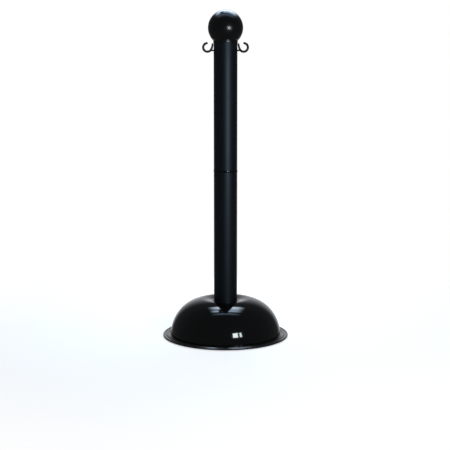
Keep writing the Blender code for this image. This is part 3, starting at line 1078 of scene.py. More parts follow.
@dataclass
class DomedBase:
    """The hollow dome with its flange and post socket, in one polished moulding."""

    finish: Finish = GlossMoulding()
    facets: int = 192
    skin_steps: int = 96
    roof_steps: int = 40
    dome_r: float = 179.15
    foot_z: float = 8.0
    rise: float = 117.7
    round_r: float = 0.572
    round_z: float = 1.195
    dish_r: float = 80.0
    dish_depth: float = 9.4
    dish_round: float = 1.5
    wall: float = 3.5
    flange_top: float = 7.2
    edge: float = 2.0
    groove: float = 1.3
    groove_inset: float = 9.0
    land_inset: float = 4.4
    bead_rise: float = 1.4
    bead_steps: int = 12
    rim_step: float = 1.0
    gully_half: float = 0.5
    gully_deeper: float = 0.3
    socket_wall: float = 3.0
    lip: float = 1.2
    inside_low: float = 8.3
    socket_floor: float = 3.0
    bosses: int = 6
    boss_r: float = 6.5
    pilot_r: float = 2.3
    pilot_top: float = 26.0
    boss_facets: int = 32
    pockets: int = 6
    pocket_depth: float = 1.7
    pocket_facets: int = 48

    def __post_init__(self) -> None:
        """Take the sizes that the frame gives."""
        room = Room.of("base_dome")
        self.flange_r = room.radius
        self.flange_low = room.low.z
        self.socket_r = Room.of("lower_post_tube").radius + FIT

    def height(self, r: float, wall: float = 0.0) -> float:
        """The dome's height at a distance from the axis.

        Args:
            r: The distance from the axis.
            wall: How far inside the outer skin to measure.

        Returns:
            The height.
        """
        share = min(r / (self.dome_r - wall), 1.0)
        lean = (1 - share ** (2 / self.round_r)) ** 0.5
        height = self.foot_z + (self.rise - wall) * lean**self.round_z
        if r < self.dish_r:
            sunk = (self.dish_r - r) / (self.dish_r - self.socket_r)
            height -= self.dish_depth * sunk**self.dish_round
        return height

    def skin(self, inner_r: float, steps: int, wall: float = 0.0) -> list[Point]:
        """The dome's curve from its foot up to a distance from the axis.

        Args:
            inner_r: The distance where the curve ends.
            steps: How many straight runs make it up.
            wall: How far inside the outer skin it lies.

        Returns:
            The curve's points, closer together where it bends more.
        """
        reach = self.dome_r - wall
        top = (1 - (inner_r / reach) ** (2 / self.round_r)) ** 0.5
        points = []
        for i in range(steps + 1):
            lean = top * sin(pi / 2 * i / steps)
            r = reach * (1 - lean * lean) ** (self.round_r / 2)
            points.append((r, self.height(r, wall)))
        return points

    def bead(self, start_r: float, end_r: float, z: float) -> list[Corner]:
        """A rounded bead on the flange.

        Args:
            start_r: The radius of its outer foot.
            end_r: The radius of its inner foot.
            z: The height of both.

        Returns:
            Its points, as corners that aren't eased.
        """
        return sharp(bulge((start_r, z), (end_r, z), self.bead_rise, self.bead_steps))

    def section(self) -> list[Point]:
        """The whole moulding's section, from the flange's underside round to the roof.

        Returns:
            The closed section's points.
        """
        inner_r = self.dome_r - self.wall
        socket_outer = self.socket_r + self.socket_wall
        groove_r = self.flange_r - self.groove_inset
        land_r = self.dome_r + self.land_inset
        top, low = self.flange_top, self.flange_low
        outer_z = top - self.bead_rise
        inner_z = outer_z + self.groove / 2
        outer_bead = self.bead(self.flange_r, groove_r + self.edge, outer_z)
        inner_bead = self.bead(groove_r - self.edge, land_r, inner_z)
        gully_z = top - self.groove - self.gully_deeper
        rim = [
            (inner_r, low, 0.0),
            (self.flange_r - 0.4 * self.edge, low, 0.6),
            (self.flange_r, low + self.rim_step, 0.9),
            *outer_bead,
            (groove_r + self.gully_half, gully_z, 0.3),
            (groove_r - self.gully_half, gully_z, 0.3),
            *inner_bead,
            (land_r - self.edge, top - self.groove, 0.9),
            (self.dome_r, top - self.groove + 0.5, 0.5),
        ]
        lip_r = self.socket_r + 1.5 * self.lip
        skin = self.skin(lip_r + self.lip, self.skin_steps)
        lip_z = skin[-1][1]
        floor_z = self.inside_low + self.socket_floor
        socket = [
            (lip_r, lip_z + self.lip, 0.9),
            (self.socket_r, lip_z + self.lip, 0.8),
            (self.socket_r, floor_z, 1.0),
            (0.0, floor_z, 0.0),
        ]
        under = [(0.0, self.inside_low, 0.0), (socket_outer, self.inside_low, 0.6)]
        roof = self.skin(socket_outer, self.roof_steps, self.wall)[::-1]
        outer = eased([*rim, *sharp(skin), *socket])
        inner = eased([*under, *sharp(roof), (inner_r, low, 0.0)])
        return outer + inner[:-1]

    def boss(self) -> Piece:
        """A screw boss with its pilot hole, cut off slanting in the middle of the dome's wall.

        Returns:
            The boss, standing where the first screw goes.
        """
        spot = Room.of("cover_screw_1").centre
        away = hypot(spot.x, spot.y)
        outline = [
            (self.pilot_r, self.inside_low),
            (self.boss_r, self.inside_low),
            (self.boss_r, self.rise),
            (0, self.rise),
            (0, self.pilot_top),
            (self.pilot_r, self.pilot_top),
        ]
        boss = put(turned("boss", outline, self.boss_facets), shift(spot.x, spot.y))
        middle = self.wall / 2
        step = 1.0
        slope = (self.height(away + step, middle) - self.height(away - step, middle)) / (2 * step)
        out = Vector((spot.x, spot.y, 0)) / away
        up = Vector((-slope * out.x, -slope * out.y, 1)).normalized()
        on_skin = Vector((spot.x, spot.y, self.height(away, middle))) * MM
        shape(boss)
        bpy.ops.mesh.bisect(plane_co=on_skin, plane_no=up, use_fill=True, clear_outer=True)
        close(boss)
        return boss

    def pocket(self) -> Piece:
        """The shape of the round pocket under the flange that a foot is let into.

        Returns:
            The pocket's shape, where the first foot goes.
        """
        room = Room.of("rubber_foot_1")
        reach = room.radius + FIT
        top = self.flange_low + self.pocket_depth
        outline = eased([(0, -1, 0), (reach, -1, 0), (reach, top, 0.4), (0, top, 0)])
        pocket = turned("pocket", outline, self.pocket_facets, loop=False)
        return put(pocket, shift(room.centre.x, room.centre.y))

    def make(self) -> None:
        """Build the moulding, its six bosses and its six foot pockets."""
        dome = turned("dome_shell", self.section(), self.facets)
        combine(dome, ring_of(self.pocket(), self.pockets), Joining.CUT)
        merged(dome, [ring_of(self.boss(), self.bosses)])
        smooth(dome)
        hand_over(dome, Body.BASE, self.finish, "base_dome")


@dataclass
class BottomCover:
    """The moulded plate that closes the base, with its ribs, screw holes and filling hole."""

    finish: Finish = DullMoulding()
    facets: int = 128
    thick: float = 3.0
    rib_high: float = 1.5
    rib_wide: float = 3.0
    ribs: int = 12
    first_rib: float = 15.0
    rib_foot: tuple[float, float, float] = (0.985, 0.72, 1)
    rib_edge: float = 0.25
    hub_r: float = 40.8
    hub_land: float = 8.0
    hub_hollow: float = 0.5
    rim_wide: float = 7.0
    rim_high: float = 0.8
    seat_wide: float = 5.0
    seat_facets: int = 64
    screws: int = 6
    screw_hole_facets: int = 32
    countersink: float = 0.5
    bead_foot: float = 2.2
    bead_face: float = 1.2
    bead_high: float = 0.9
    rings: tuple[float, ...] = (72.0, 128.0)

    def __post_init__(self) -> None:
        """Take the sizes that the frame gives."""
        room = Room.of("base_bottom_cover")
        self.radius = room.radius
        self.low = room.low.z
        self.plate_low = self.low + self.rib_high
        self.plate_top = self.plate_low + self.thick

    def plate(self) -> Piece:
        """The plate, with its hub, a raised rim and two stiffening beads.

        Returns:
            The plate.
        """
        low, face, top = self.low, self.plate_low, self.plate_top
        corners: list[Corner] = [
            (0, low + self.hub_hollow, 0.0),
            (self.hub_r - self.hub_land - 1, low + self.hub_hollow, 0.5),
            (self.hub_r - self.hub_land, low, 0.5),
            (self.hub_r, low, 0.6),
            (self.hub_r + 0.6, face, 0.5),
        ]
        for ring in self.rings:
            corners += [
                (ring - self.bead_foot, face, 0.5),
                (ring - self.bead_face, face - self.bead_high, 0.5),
                (ring + self.bead_face, face - self.bead_high, 0.5),
                (ring + self.bead_foot, face, 0.5),
            ]
        corners += [
            (self.radius - self.rim_wide - 0.5, face, 0.5),
            (self.radius - self.rim_wide, face - self.rim_high, 0.5),
            (self.radius - 0.5, face - self.rim_high, 0.4),
            (self.radius, face, 0.4),
            (self.radius, top, 0.4),
            (0, top, 0.0),
        ]
        return turned("bottom_cover", eased(corners), self.facets, loop=False)

    def rib(self) -> Piece:
        """One radial rib, narrower along its foot than where it meets the plate.

        Returns:
            The rib, along +X.
        """
        half = self.rib_wide / 2
        end = self.radius - 4 * self.rib_wide
        low = Vector((self.hub_r - 2, -half, self.low))
        high = Vector((end, half, self.plate_low + self.thick / 2))
        rib = block("rib", low, high)
        shape(rib)
        pick_faces(rib, lambda centre, normal: normal.z < -0.5)
        bpy.ops.transform.resize(value=self.rib_foot, center_override=(0, 0, self.low * MM))
        return soften(rib, self.rib_edge)

    def screw_hole(self) -> Piece:
        """The shape of a screw hole with a shallow countersink.

        Returns:
            The shape, where the first screw goes.
        """
        spot = Room.of("cover_screw_1").centre
        hole_r = SCREW_SHANK_R + FIT
        outline = [
            (0, 0),
            (hole_r + self.countersink, 0),
            (hole_r + self.countersink, self.plate_low),
            (hole_r, self.plate_low + self.countersink),
            (hole_r, 2 * self.plate_top),
            (0, 2 * self.plate_top),
        ]
        hole = turned("screw_hole", outline, self.screw_hole_facets, loop=False)
        return put(hole, shift(spot.x, spot.y))

    def seat(self, spot: Vector, hole_r: float) -> Piece:
        """The thicker ring inside the base round the filling hole.

        Args:
            spot: The filling hole's centre.
            hole_r: The filling hole's radius.

        Returns:
            The ring, as a solid that the hole is cut through.
        """
        low, top = self.plate_top - 1, self.plate_top + self.thick
        outer = hole_r - FIT + self.seat_wide
        corners = [(0, low, 0), (outer, low, 0), (outer, top, 0.6), (0, top, 0)]
        seat = turned("seat", eased(corners), self.seat_facets, loop=False)
        return put(seat, shift(spot.x, spot.y))

    def make(self) -> None:
        """Build the plate with its ribs, six screw holes and the filling hole."""
        cover = self.plate()
        rib = put(self.rib(), turn(radians(self.first_rib)))
        combine(cover, ring_of(rib, self.ribs), Joining.ADD)
        spot = Room.of("ballast_fill_plug").centre
        hole_r = PLUG_NECK_R + FIT
        combine(cover, self.seat(spot, hole_r), Joining.ADD)
        reach = 2 * self.plate_top
        outline = [(0, 0), (hole_r, 0), (hole_r, reach), (0, reach)]
        fill = put(turned("fill_hole", outline, self.seat_facets, loop=False), shift(spot.x, spot.y))
        holes = ring_of(self.screw_hole(), self.screws)
        combine(cover, merged(holes, [fill]), Joining.CUT)
        hand_over(cover, Body.BASE, self.finish, "base_bottom_cover")


@dataclass
class CoverScrews:
    """Six slotted pan-head screws, on which rings stand for the threads."""

    finish: Finish = ZincPlate()
    count: int = 6
    facets: int = 40
    shank_r: float = SCREW_SHANK_R
    root_r: float = 1.55
    pitch: float = 1.4
    thread_foot: float = 0.35
    thread_flank: float = 0.45
    thread_crest: float = 0.08
    head_high: float = 2.0
    plain_long: float = 3.0
    slot_wide: float = 1.2
    slot_deep: float = 0.9
    driver_turn: float = 0.7

    def one(self) -> Piece:
        """The first screw.

        Returns:
            The screw, in its place.
        """
        room = Room.of("cover_screw_1")
        low, end = room.low.z, room.high.z
        head_r = room.radius
        head_top = low + self.head_high
        corners: list[Corner] = [
            (0, low, 0.0),
            (head_r * 0.62, low + 0.06, 1.2),
            (head_r - 0.1, low + 0.75, 0.8),
            (head_r, head_top, 0.25),
            (self.shank_r, head_top, 0.2),
            (self.shank_r, head_top + self.plain_long, 0.2),
        ]
        z = head_top + self.plain_long
        while z + self.pitch < end - 2 * self.shank_r:
            corners += [
                (self.root_r, z + self.thread_foot, 0.0),
                (self.root_r, z + self.pitch - self.thread_flank, 0.0),
                (self.shank_r, z + self.pitch - self.thread_crest, 0.05),
                (self.shank_r, z + self.pitch, 0.05),
            ]
            z += self.pitch
        corners += [(self.root_r, end - 2 * self.shank_r, 0.3), (0, end, 0.0)]
        screw = turned("screw_1", eased(corners), self.facets, loop=False)
        half = self.slot_wide / 2
        slot_low = Vector((-2 * head_r, -half, low - 1))
        slot = block("driver_slot", slot_low, Vector((2 * head_r, half, low + self.slot_deep)))
        combine(screw, slot, Joining.CUT)
        return put(screw, turn(self.driver_turn))

    def make(self) -> None:
        """Build the first screw and copy it, each copy turned as its driver left it."""
        model = self.one()
        for i in range(1, self.count + 1):
            spot = Room.of(f"cover_screw_{i}").centre
            place = shift(spot.x, spot.y) @ turn(self.driver_turn * (i - 1))
            screw = copy_of(model, f"slotted_screw_{i}", place)
            smooth(screw)
            hand_over(screw, Body.BASE, self.finish, f"cover_screw_{i}")
        bpy.data.objects.remove(model)


@dataclass
class RubberFeet:
    """Six round pads let into the flange, with grip rings underneath."""

    finish: Finish = Rubber()
    count: int = 6
    facets: int = 56
    dimple_r: float = 1.6
    ring_starts: tuple[float, ...] = (2.9, 5.0)
    groove_deep: float = 0.45

    def one(self, room: Room) -> Piece:
        """One foot at the origin.

        Args:
            room: The box that the foot fills.

        Returns:
            The foot.
        """
        low, top, reach = room.low.z, room.high.z, room.radius
        groove = low + self.groove_deep
        dimple_z = low + 0.3
        corners: list[Corner] = [
            (0, dimple_z, 0.0),
            (self.dimple_r - 0.2, dimple_z, 0.2),
            (self.dimple_r, low, 0.15),
        ]
        for r in self.ring_starts:
            corners += [
                (r, low, 0.15),
                (r + 0.2, groove, 0.15),
                (r + 0.7, groove, 0.15),
                (r + 0.9, low, 0.15),
            ]
        corners += [(reach - 0.1, low, 0.7), (reach, top, 0.3), (0, top, 0.0)]
        return turned("foot", eased(corners), self.facets, loop=False)

    def make(self) -> None:
        """Build one foot and copy it to the six places."""
        model = self.one(Room.of("rubber_foot_1"))
        for i in range(1, self.count + 1):
            spot = Room.of(f"rubber_foot_{i}").centre
            foot = copy_of(model, f"grip_foot_{i}", shift(spot.x, spot.y))
            smooth(foot)
            hand_over(foot, Body.BASE, self.finish, f"rubber_foot_{i}")
        bpy.data.objects.remove(model)


@dataclass
class FillPlug:
    """The quarter-turn plug of the filling hole, with its ring seal."""

    finish: Finish = DullMoulding()
    seal_finish: Finish = Rubber()
    facets: int = 96
    neck_r: float = PLUG_NECK_R
    wall: float = 2.5
    head_high: float = 2.6
    seal_r: float = 15.5
    seal_rod_r: float = 1.0
    seal_narrow: float = 0.95
    flash: float = 0.0475
    seal_groove: float = 1.0
    grip_wide: float = 4.0
    neck_groove_low: float = 3.0
    neck_groove_high: float = 5.4
    neck_groove_side: float = 0.4
    neck_groove_deep: float = 0.25
    notches: int = 24
    notch_deep: float = 0.35
    notch_inset: float = 0.08
    floor_deep: float = 1.0

    def cap(self) -> Piece:
        """The plug, with its grooved neck, notched head and finger grip.

        Returns:
            The plug, on the post's axis.
        """
        room = Room.of("ballast_fill_plug")
        low, end, reach = room.low.z, room.high.z, room.radius
        top = low + self.head_high
        well = self.neck_r - self.wall
        groove_in = self.seal_r - self.seal_rod_r - FIT
        groove_out = self.seal_r + self.seal_rod_r + FIT
        floor_z = low + self.floor_deep
        neck_low, neck_high = top + self.neck_groove_low, top + self.neck_groove_high
        corners: list[Corner] = [
            (0, floor_z, 0.0),
            (well - 0.2, floor_z, 0.3),
            (well, low, 0.3),
            (reach - 0.4, low, 0.4),
            (reach, low + 0.6, 0.5),
            (reach, top, 0.3),
            (groove_out, top, 0.2),
            (groove_out, top - self.seal_groove, 0.2),
            (groove_in, top - self.seal_groove, 0.2),
            (groove_in, top, 0.2),
            (self.neck_r, top, 0.2),
            (self.neck_r, neck_low, 0.2),
            (self.neck_r - self.neck_groove_deep, neck_low + self.neck_groove_side, 0.2),
            (self.neck_r - self.neck_groove_deep, neck_high - self.neck_groove_side, 0.2),
            (self.neck_r, neck_high, 0.2),
            (self.neck_r, end - 1.0, 0.3),
            (self.neck_r - 0.8, end, 0.3),
            (well, end, 0.3),
            (well, top, 0.4),
            (0, top, 0.0),
        ]
        plug = turned("fill_plug_cap", eased(corners), self.facets, loop=False)
        shape(plug)

        def in_notch(centre: Vector, normal: Vector) -> bool:
            """Whether a face is on the head's edge and in one of its grip notches.

            Args:
                centre: The face's centre.
                normal: Its normal.

            Returns:
                True for a face to be sunk.
            """
            away = hypot(centre.x, centre.y)
            on_edge = away > reach - 0.25 and abs(normal.z) < 0.3
            return on_edge and in_stripe(centre, self.notches, 0.5)

        if pick_faces(plug, in_notch):
            bpy.ops.mesh.inset(thickness=self.notch_inset * MM, depth=-self.notch_deep * MM)
        bpy.ops.mesh.select_mode(type="VERT")
        close(plug)
        half = self.grip_wide / 2
        grip_low = Vector((-well - self.wall / 2, -half, low + 0.05))
        grip_high = Vector((well + self.wall / 2, half, floor_z + 0.6))
        return combine(plug, block("grip", grip_low, grip_high, 0.5), Joining.ADD)

    def seal(self) -> Piece:
        """The ring seal, flattened by the head, with a line of flash round its inner and outer edges.

        Returns:
            The seal, on the post's axis.
        """
        room = Room.of("fill_plug_seal")
        half_high = (room.high.z - room.low.z) / 2
        sides = 24
        section = []
        for x, z in arc((0, 0), 1, 0, 360 - 360 / sides, sides - 1):
            half_wide = self.seal_rod_r * (self.seal_narrow + (self.flash if abs(z) < 0.1 else 0.0))
            section.append((self.seal_r + x * half_wide, room.centre.z + z * half_high))
        return turned("ring_seal", section, self.facets)

    def make(self) -> None:
        """Build the plug and its seal."""
        spot = Room.of("ballast_fill_plug").centre
        place = shift(spot.x, spot.y)
        hand_over(put(self.cap(), place), Body.FILL_PLUG, self.finish, "ballast_fill_plug")
        hand_over(put(self.seal(), place), Body.FILL_PLUG, self.seal_finish, "fill_plug_seal")


# The post


@dataclass
class PostTube:
    """A length of the post's tube, with eased ends."""

    name: str
    node: str
    body: Body
    finish: Finish = SatinPlastic()
    facets: int = 128
    wall: float = TUBE_WALL
    end_edge: float = 0.5
    end_long: float = 4.0
    rings: tuple[float, ...] = ()

    def make(self) -> Piece:
        """Build the tube.

        Returns:
            The tube, not yet handed over.
        """
        room = Room.of(self.node)
        low, high, outer = room.low.z, room.high.z, room.radius
        bore = outer - self.wall
        first, last = low + self.end_long, high - self.end_long
        corners: list[Corner] = [
            (bore, first, 0.0),
            (bore, low, self.end_edge),
            (outer, low, self.end_edge),
            (outer, first, 0.0),
            *[(outer, z, 0.0) for z in self.rings],
            (outer, last, 0.0),
            (outer, high, self.end_edge),
            (bore, high, self.end_edge),
            (bore, last, 0.0),
            *[(bore, z, 0.0) for z in reversed(self.rings)],
        ]
        return turned(self.name, eased(corners), self.facets)


@dataclass
class Post:
    """The two tubes and the coupler that joins them."""

    finish: Finish = SatinPlastic()
    ring_finish: Finish = SatinPlastic(
        name="coupler_moulding", satin=0.10, grain_depth=0.0003, wave_depth=0.0002
    )
    facets: int = 128
    sleeve_wall: float = 3.0
    ring_high: float = 5.0
    crown: float = 0.26
    crown_steps: int = 16
    lead_in: float = 1.0
    lead_long: float = 2.0
    extra_rings: tuple[float, ...] = (-8.0, -4.0, 4.0)

    def make(self) -> None:
        """Build the lower tube, the coupler and the upper tube with its two stem holes."""
        lower = PostTube("lower_tube", "lower_post_tube", Body.LOWER_POST).make()
        hand_over(lower, Body.LOWER_POST, self.finish, "lower_post_tube")
        self.coupler()
        stem_z = hook_stem_height(Room.of("hook_right"))
        half = STEM_SIDE / 2 + FIT
        rings = tuple(stem_z + away for away in self.extra_rings)
        tube = PostTube("upper_tube", "upper_post_tube", Body.UPPER_POST, rings=rings).make()
        reach = 2 * Room.of("upper_post_tube").radius
        low = Vector((-reach, -half, stem_z - half))
        high = Vector((reach, half, stem_z + half))
        combine(tube, block("stem_holes", low, high), Joining.CUT)
        hand_over(tube, Body.UPPER_POST, self.finish, "upper_post_tube")

    def coupler(self) -> None:
        """Build the coupler: a fluted sleeve up each tube and the ring between them."""
        room = Room.of("post_coupler")
        low, high, ring_r = room.low.z, room.high.z, room.radius
        sleeve_r = Room.of("lower_post_tube").radius - TUBE_WALL - FIT
        bore = sleeve_r - self.sleeve_wall
        tip_r = sleeve_r - self.lead_in
        ring_low = room.centre.z - self.ring_high / 2
        ring_top = room.centre.z + self.ring_high / 2
        flutes_low = (low + FLUTE_MARGIN, ring_low - COLLAR_MARGIN)
        flutes_high = (ring_top + COLLAR_MARGIN, high - FLUTE_MARGIN)
        edge_r = ring_r - self.crown
        crown = bulge((edge_r, ring_low), (edge_r, ring_top), self.crown, self.crown_steps)
        corners: list[Corner] = [
            (bore, room.centre.z, 0.0),
            (bore, low, 0.5),
            (tip_r, low, 0.5),
            (sleeve_r, low + self.lead_long, 0.8),
            *[(sleeve_r, z, 0.0) for z in flutes_low],
            (sleeve_r, ring_low, 0.3),
            *sharp(crown),
            (sleeve_r, ring_top, 0.3),
            *[(sleeve_r, z, 0.0) for z in flutes_high],
            (sleeve_r, high - self.lead_long, 0.8),
            (tip_r, high, 0.5),
            (bore, high, 0.5),
        ]
        piece = turned("joint_coupler", eased(corners), self.facets)
        flute(piece, sleeve_r, *flutes_low)
        flute(piece, sleeve_r, *flutes_high)
        hand_over(piece, Body.COUPLER, self.ring_finish, "post_coupler")


def hook_stem_height(hook: Room) -> float:
    """The height of a hook's stem.

    Args:
        hook: The box that the hook fills.

    Returns:
        The stem's middle.
    """
    bend_z = hook.low.z + HOOK_BEND_R + HOOK_ROD_R
    return bend_z + HOOK_BEND_R * sin(radians(STEM_ANGLE))


@dataclass
class RopeHooks:
    """The pair of open round hooks that rope ends hang on."""

    finish: Finish = HookPlastic()
    bend_r: float = HOOK_BEND_R
    rod_r: float = HOOK_ROD_R
    tip_angle: float = 80.0
    back_angle: float = -150.0
    arm_rise: float = 10.2
    arm_stand_off: float = 3.2
    arm_tip_r: float = 2.8
    arm_pull: float = 0.45
    stem_edge: float = 0.3
    stem_past_bore: float = 0.6
    barb_long: float = 3.5
    barb_flank: float = 0.9
    barb_foot: tuple[float, float, float] = (1, 0.9, 0.45)
    barb_edge: float = 0.2
    bend_steps: int = 64
    arm_steps: int = 20
    facets_quarter: int = 6
    end_steps: int = 6
    last_lift: float = 88.0

    def __post_init__(self) -> None:
        """Take the places that the frame gives."""
        hook = Room.of("hook_right")
        tube = Room.of("upper_post_tube")
        self.post_r = tube.radius
        self.bore = tube.radius - TUBE_WALL
        self.centre_x = hook.high.x - self.bend_r - self.rod_r
        self.centre_z = hook.low.z + self.bend_r + self.rod_r
        self.stem_z = hook_stem_height(hook)

    def path(self) -> list[tuple[Vector, float]]:
        """The middle line of the rod, from its outer tip to the top of its back arm.

        Returns:
            A place and a rod radius for each step.
        """
        centre = (self.centre_x, self.centre_z)
        bend = arc(centre, self.bend_r, self.tip_angle, self.back_angle, self.bend_steps)
        line = [(Vector((x, 0, z)), self.rod_r) for x, z in bend]
        start = line[-1][0]
        end = Vector((self.post_r + self.arm_stand_off, 0, self.centre_z + self.arm_rise))
        back = radians(self.back_angle)
        heading = Vector((sin(back), 0, -cos(back)))
        pull = start + heading * (end - start).length * self.arm_pull
        for i in range(1, self.arm_steps + 1):
            t = i / self.arm_steps
            spot = start * (1 - t) ** 2 + pull * 2 * t * (1 - t) + end * t * t
            line.append((spot, self.rod_r + (self.arm_tip_r - self.rod_r) * t))
        return self.both_domed(line)

    def both_domed(self, line: list[tuple[Vector, float]]) -> list[tuple[Vector, float]]:
        """Close both ends of the rod with a dome.

        Args:
            line: The rod's middle line.

        Returns:
            The line with the domes' steps at each end.
        """
        steps = [90 * k / self.end_steps for k in range(1, self.end_steps)]
        lifts = [radians(lift) for lift in (*steps, self.last_lift)]

        def dome(end: tuple[Vector, float], before: tuple[Vector, float]) -> list[tuple[Vector, float]]:
            """The dome past one end of the rod.

            Args:
                end: The rod's last step there.
                before: The step before it.

            Returns:
                A place and a rod radius for each of the dome's steps, outwards.
            """
            spot, radius = end
            out = (spot - before[0]).normalized()
            return [(spot + out * radius * sin(a), radius * cos(a)) for a in lifts]

        return dome(line[0], line[1])[::-1] + line + dome(line[-1], line[-2])

    def rod(self) -> Piece:
        """The round rod of the hook, swept along its line.

        Returns:
            The rod.
        """
        clear_bench()
        bpy.ops.curve.primitive_nurbs_path_add(location=(0, 0, 0))
        sweep = label("hook_rod")
        curve = sweep.data
        curve.splines.clear()
        curve.dimensions = "3D"
        line = self.path()
        spline = curve.splines.new("POLY")
        spline.points.add(len(line) - 1)
        for point, (spot, radius) in zip(spline.points, line):
            point.co = (*(spot * MM), 1)
            point.radius = radius / self.rod_r
        curve.bevel_depth = self.rod_r * MM
        curve.bevel_resolution = self.facets_quarter
        curve.use_fill_caps = True
        take(sweep)
        bpy.ops.object.convert(target="MESH")
        rod = label("hook_rod")
        shape(rod)
        close(rod)
        return rod

    def stem(self) -> Piece:
        """The square stem, with a barb behind the tube's wall.

        Returns:
            The stem.
        """
        half = STEM_SIDE / 2
        inner = self.bore - self.stem_past_bore
        outer = self.centre_x + self.bend_r * cos(radians(STEM_ANGLE))
        low = Vector((inner, -half, self.stem_z - half))
        stem = block("stem", low, Vector((outer, half, self.stem_z + half)), self.stem_edge)
        flank, wide, barb_end = half * self.barb_flank, BARB_SIDE / 2, self.bore - FIT
        barb_low = Vector((barb_end - self.barb_long, -flank, self.stem_z - wide))
        barb_high = Vector((barb_end, flank, self.stem_z + wide))
        barb = block("barb", barb_low, barb_high)
        shape(barb)
        pick_faces(barb, lambda centre, normal: normal.x < -0.5)
        pivot = (barb_low.x * MM, 0, self.stem_z * MM)
        bpy.ops.transform.resize(value=self.barb_foot, center_override=pivot)
        return combine(stem, soften(barb, self.barb_edge), Joining.ADD)

    def make(self) -> None:
        """Build the right-hand hook and turn a copy round for the left."""
        hook = combine(self.rod(), self.stem(), Joining.ADD)
        hook.name = hook.data.name = "rope_hook_right"
        other = copy_of(hook, "rope_hook_left", turn(pi))
        smooth(other)
        hand_over(hook, Body.UPPER_POST, self.finish, "hook_right")
        hand_over(other, Body.UPPER_POST, self.finish, "hook_left")


@dataclass
class BallTop:
    """The hollow ball with its neck ring and the skirt that plugs into the upper tube."""

    finish: Finish = GlossMoulding(name="ball_moulding", gloss=0.22, peel=0.0005)
    facets: int = 128
    wall: float = 3.0
    neck_proud: float = 1.3
    lead: float = 2.0
    slot_clear: float = 2.5
    slot_edge: float = 0.8
    ball_steps: int = 84
    bore_steps: int = 40

    def make(self) -> None:
        """Build the ball, its neck and its slotted skirt."""
        room = Room.of("ball_top")
        tube = Room.of("upper_post_tube")
        ball_r, low = room.radius, room.low.z
        ball_z = room.high.z - ball_r
        neck_r = tube.radius + self.neck_proud
        sleeve_r = tube.radius - TUBE_WALL - FIT
        bore = sleeve_r - self.wall
        neck_low = tube.high.z + FIT
        flutes = (low + FLUTE_MARGIN, neck_low - COLLAR_MARGIN)
        inner_r = ball_r - self.wall
        neck_z = ball_z - (ball_r**2 - neck_r**2) ** 0.5
        bore_z = ball_z - (inner_r**2 - bore**2) ** 0.5
        start = degrees(atan2(neck_r, ball_z - neck_z)) - 90
        inner_start = degrees(atan2(bore, ball_z - bore_z)) - 90
        outer = arc((0, ball_z), ball_r, start, 90, self.ball_steps)
        hollow = arc((0, ball_z), inner_r, 90, inner_start, self.bore_steps)
        corners: list[Corner] = [
            (bore, low, 0.0),
            (sleeve_r - self.lead / 2, low, 0.3),
            (sleeve_r, low + self.lead, 0.6),
            *[(sleeve_r, z, 0.0) for z in flutes],
            (sleeve_r, neck_low, 0.3),
            (neck_r, neck_low, 0.3),
            (neck_r - 0.2, neck_z - 0.1, 0.0),
            *sharp([(max(r, 0.0), z) for r, z in outer[1:]]),
            *sharp([(max(r, 0.0), z) for r, z in hollow]),
        ]
        ball = turned("ball_finial", eased(corners), self.facets)
        flute(ball, sleeve_r, *flutes)
        stem_z = hook_stem_height(Room.of("hook_right"))
        half = STEM_SIDE / 2 + self.slot_clear
        beyond = 10.0
        slot_low = Vector((-tube.radius, -half, low - beyond))
        slot_high = Vector((tube.radius, half, stem_z + BARB_SIDE / 2 + self.slot_clear))
        slot = block("skirt_slots", slot_low, slot_high, self.slot_edge)
        combine(ball, slot, Joining.CUT)
        hand_over(ball, Body.BALL, self.finish, "ball_top")


@dataclass
class SandBallast:
    """The sand that weighs the base down, which keeps its CAD solid."""

    finish: Finish = DrySand()

    def make(self) -> None:
        """Dress the CAD node as loose sand."""
        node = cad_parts["sand_ballast"]
        node.data.materials.clear()
        node.data.materials.append(self.finish.material())
        LOG.info("sand_ballast keeps its CAD shape, %s", self.finish.slot.value)


# The studio


@dataclass(frozen=True)
class Softbox:
    """A rectangular diffused lamp.

    Its fade is the share of it that dims at each side, at the lower edge and at the upper edge.
    """

    name: str
    place: Place
    aim: Place
    wide: float
    high: float
    glow: float
    tint: Colour
    fade: Fade

    def set_up(self) -> None:
        """Hang the lamp, out of the camera's sight."""
        bpy.ops.object.light_add(type="AREA", location=self.place)
        lamp = bpy.context.object
        lamp.name = lamp.data.name = self.name
        lamp.data.shape = "RECTANGLE"
        lamp.data.size = self.wide
        lamp.data.size_y = self.high
        lamp.data.energy = self.glow * pi * self.wide * self.high
        lamp.data.color = self.tint
        heading = Vector(self.aim) - Vector(self.place)
        lamp.rotation_euler = heading.to_track_quat("-Z", "Y").to_euler()
        lamp.visible_camera = False
        self.fade_edges(lamp.data)

    def fade_edges(self, light: bpy.types.Light) -> None:
        """Make the lamp dimmer towards its edges, as a real diffuser is.

        Args:
            light: The lamp's light.
        """
        board = Board(light, Owner.LAMP)
        spot = board.node("ShaderNodeNewGeometry", output="Parametric")
        across = board.node("ShaderNodeSeparateXYZ", {}, {0: spot}, "X")
        up = board.node("ShaderNodeSeparateXYZ", {}, {0: spot}, "Y")
        start, end, low, high = self.fade
        sideways = board.between(across, 0.0, start) * board.between(across, 1.0, 1.0 - end)
        upwards = board.between(up, 0.0, low) * board.between(up, 1.0, 1.0 - high)
        board.finish_with(board.node("ShaderNodeEmission", {}, {"Strength": sideways * upwards}))


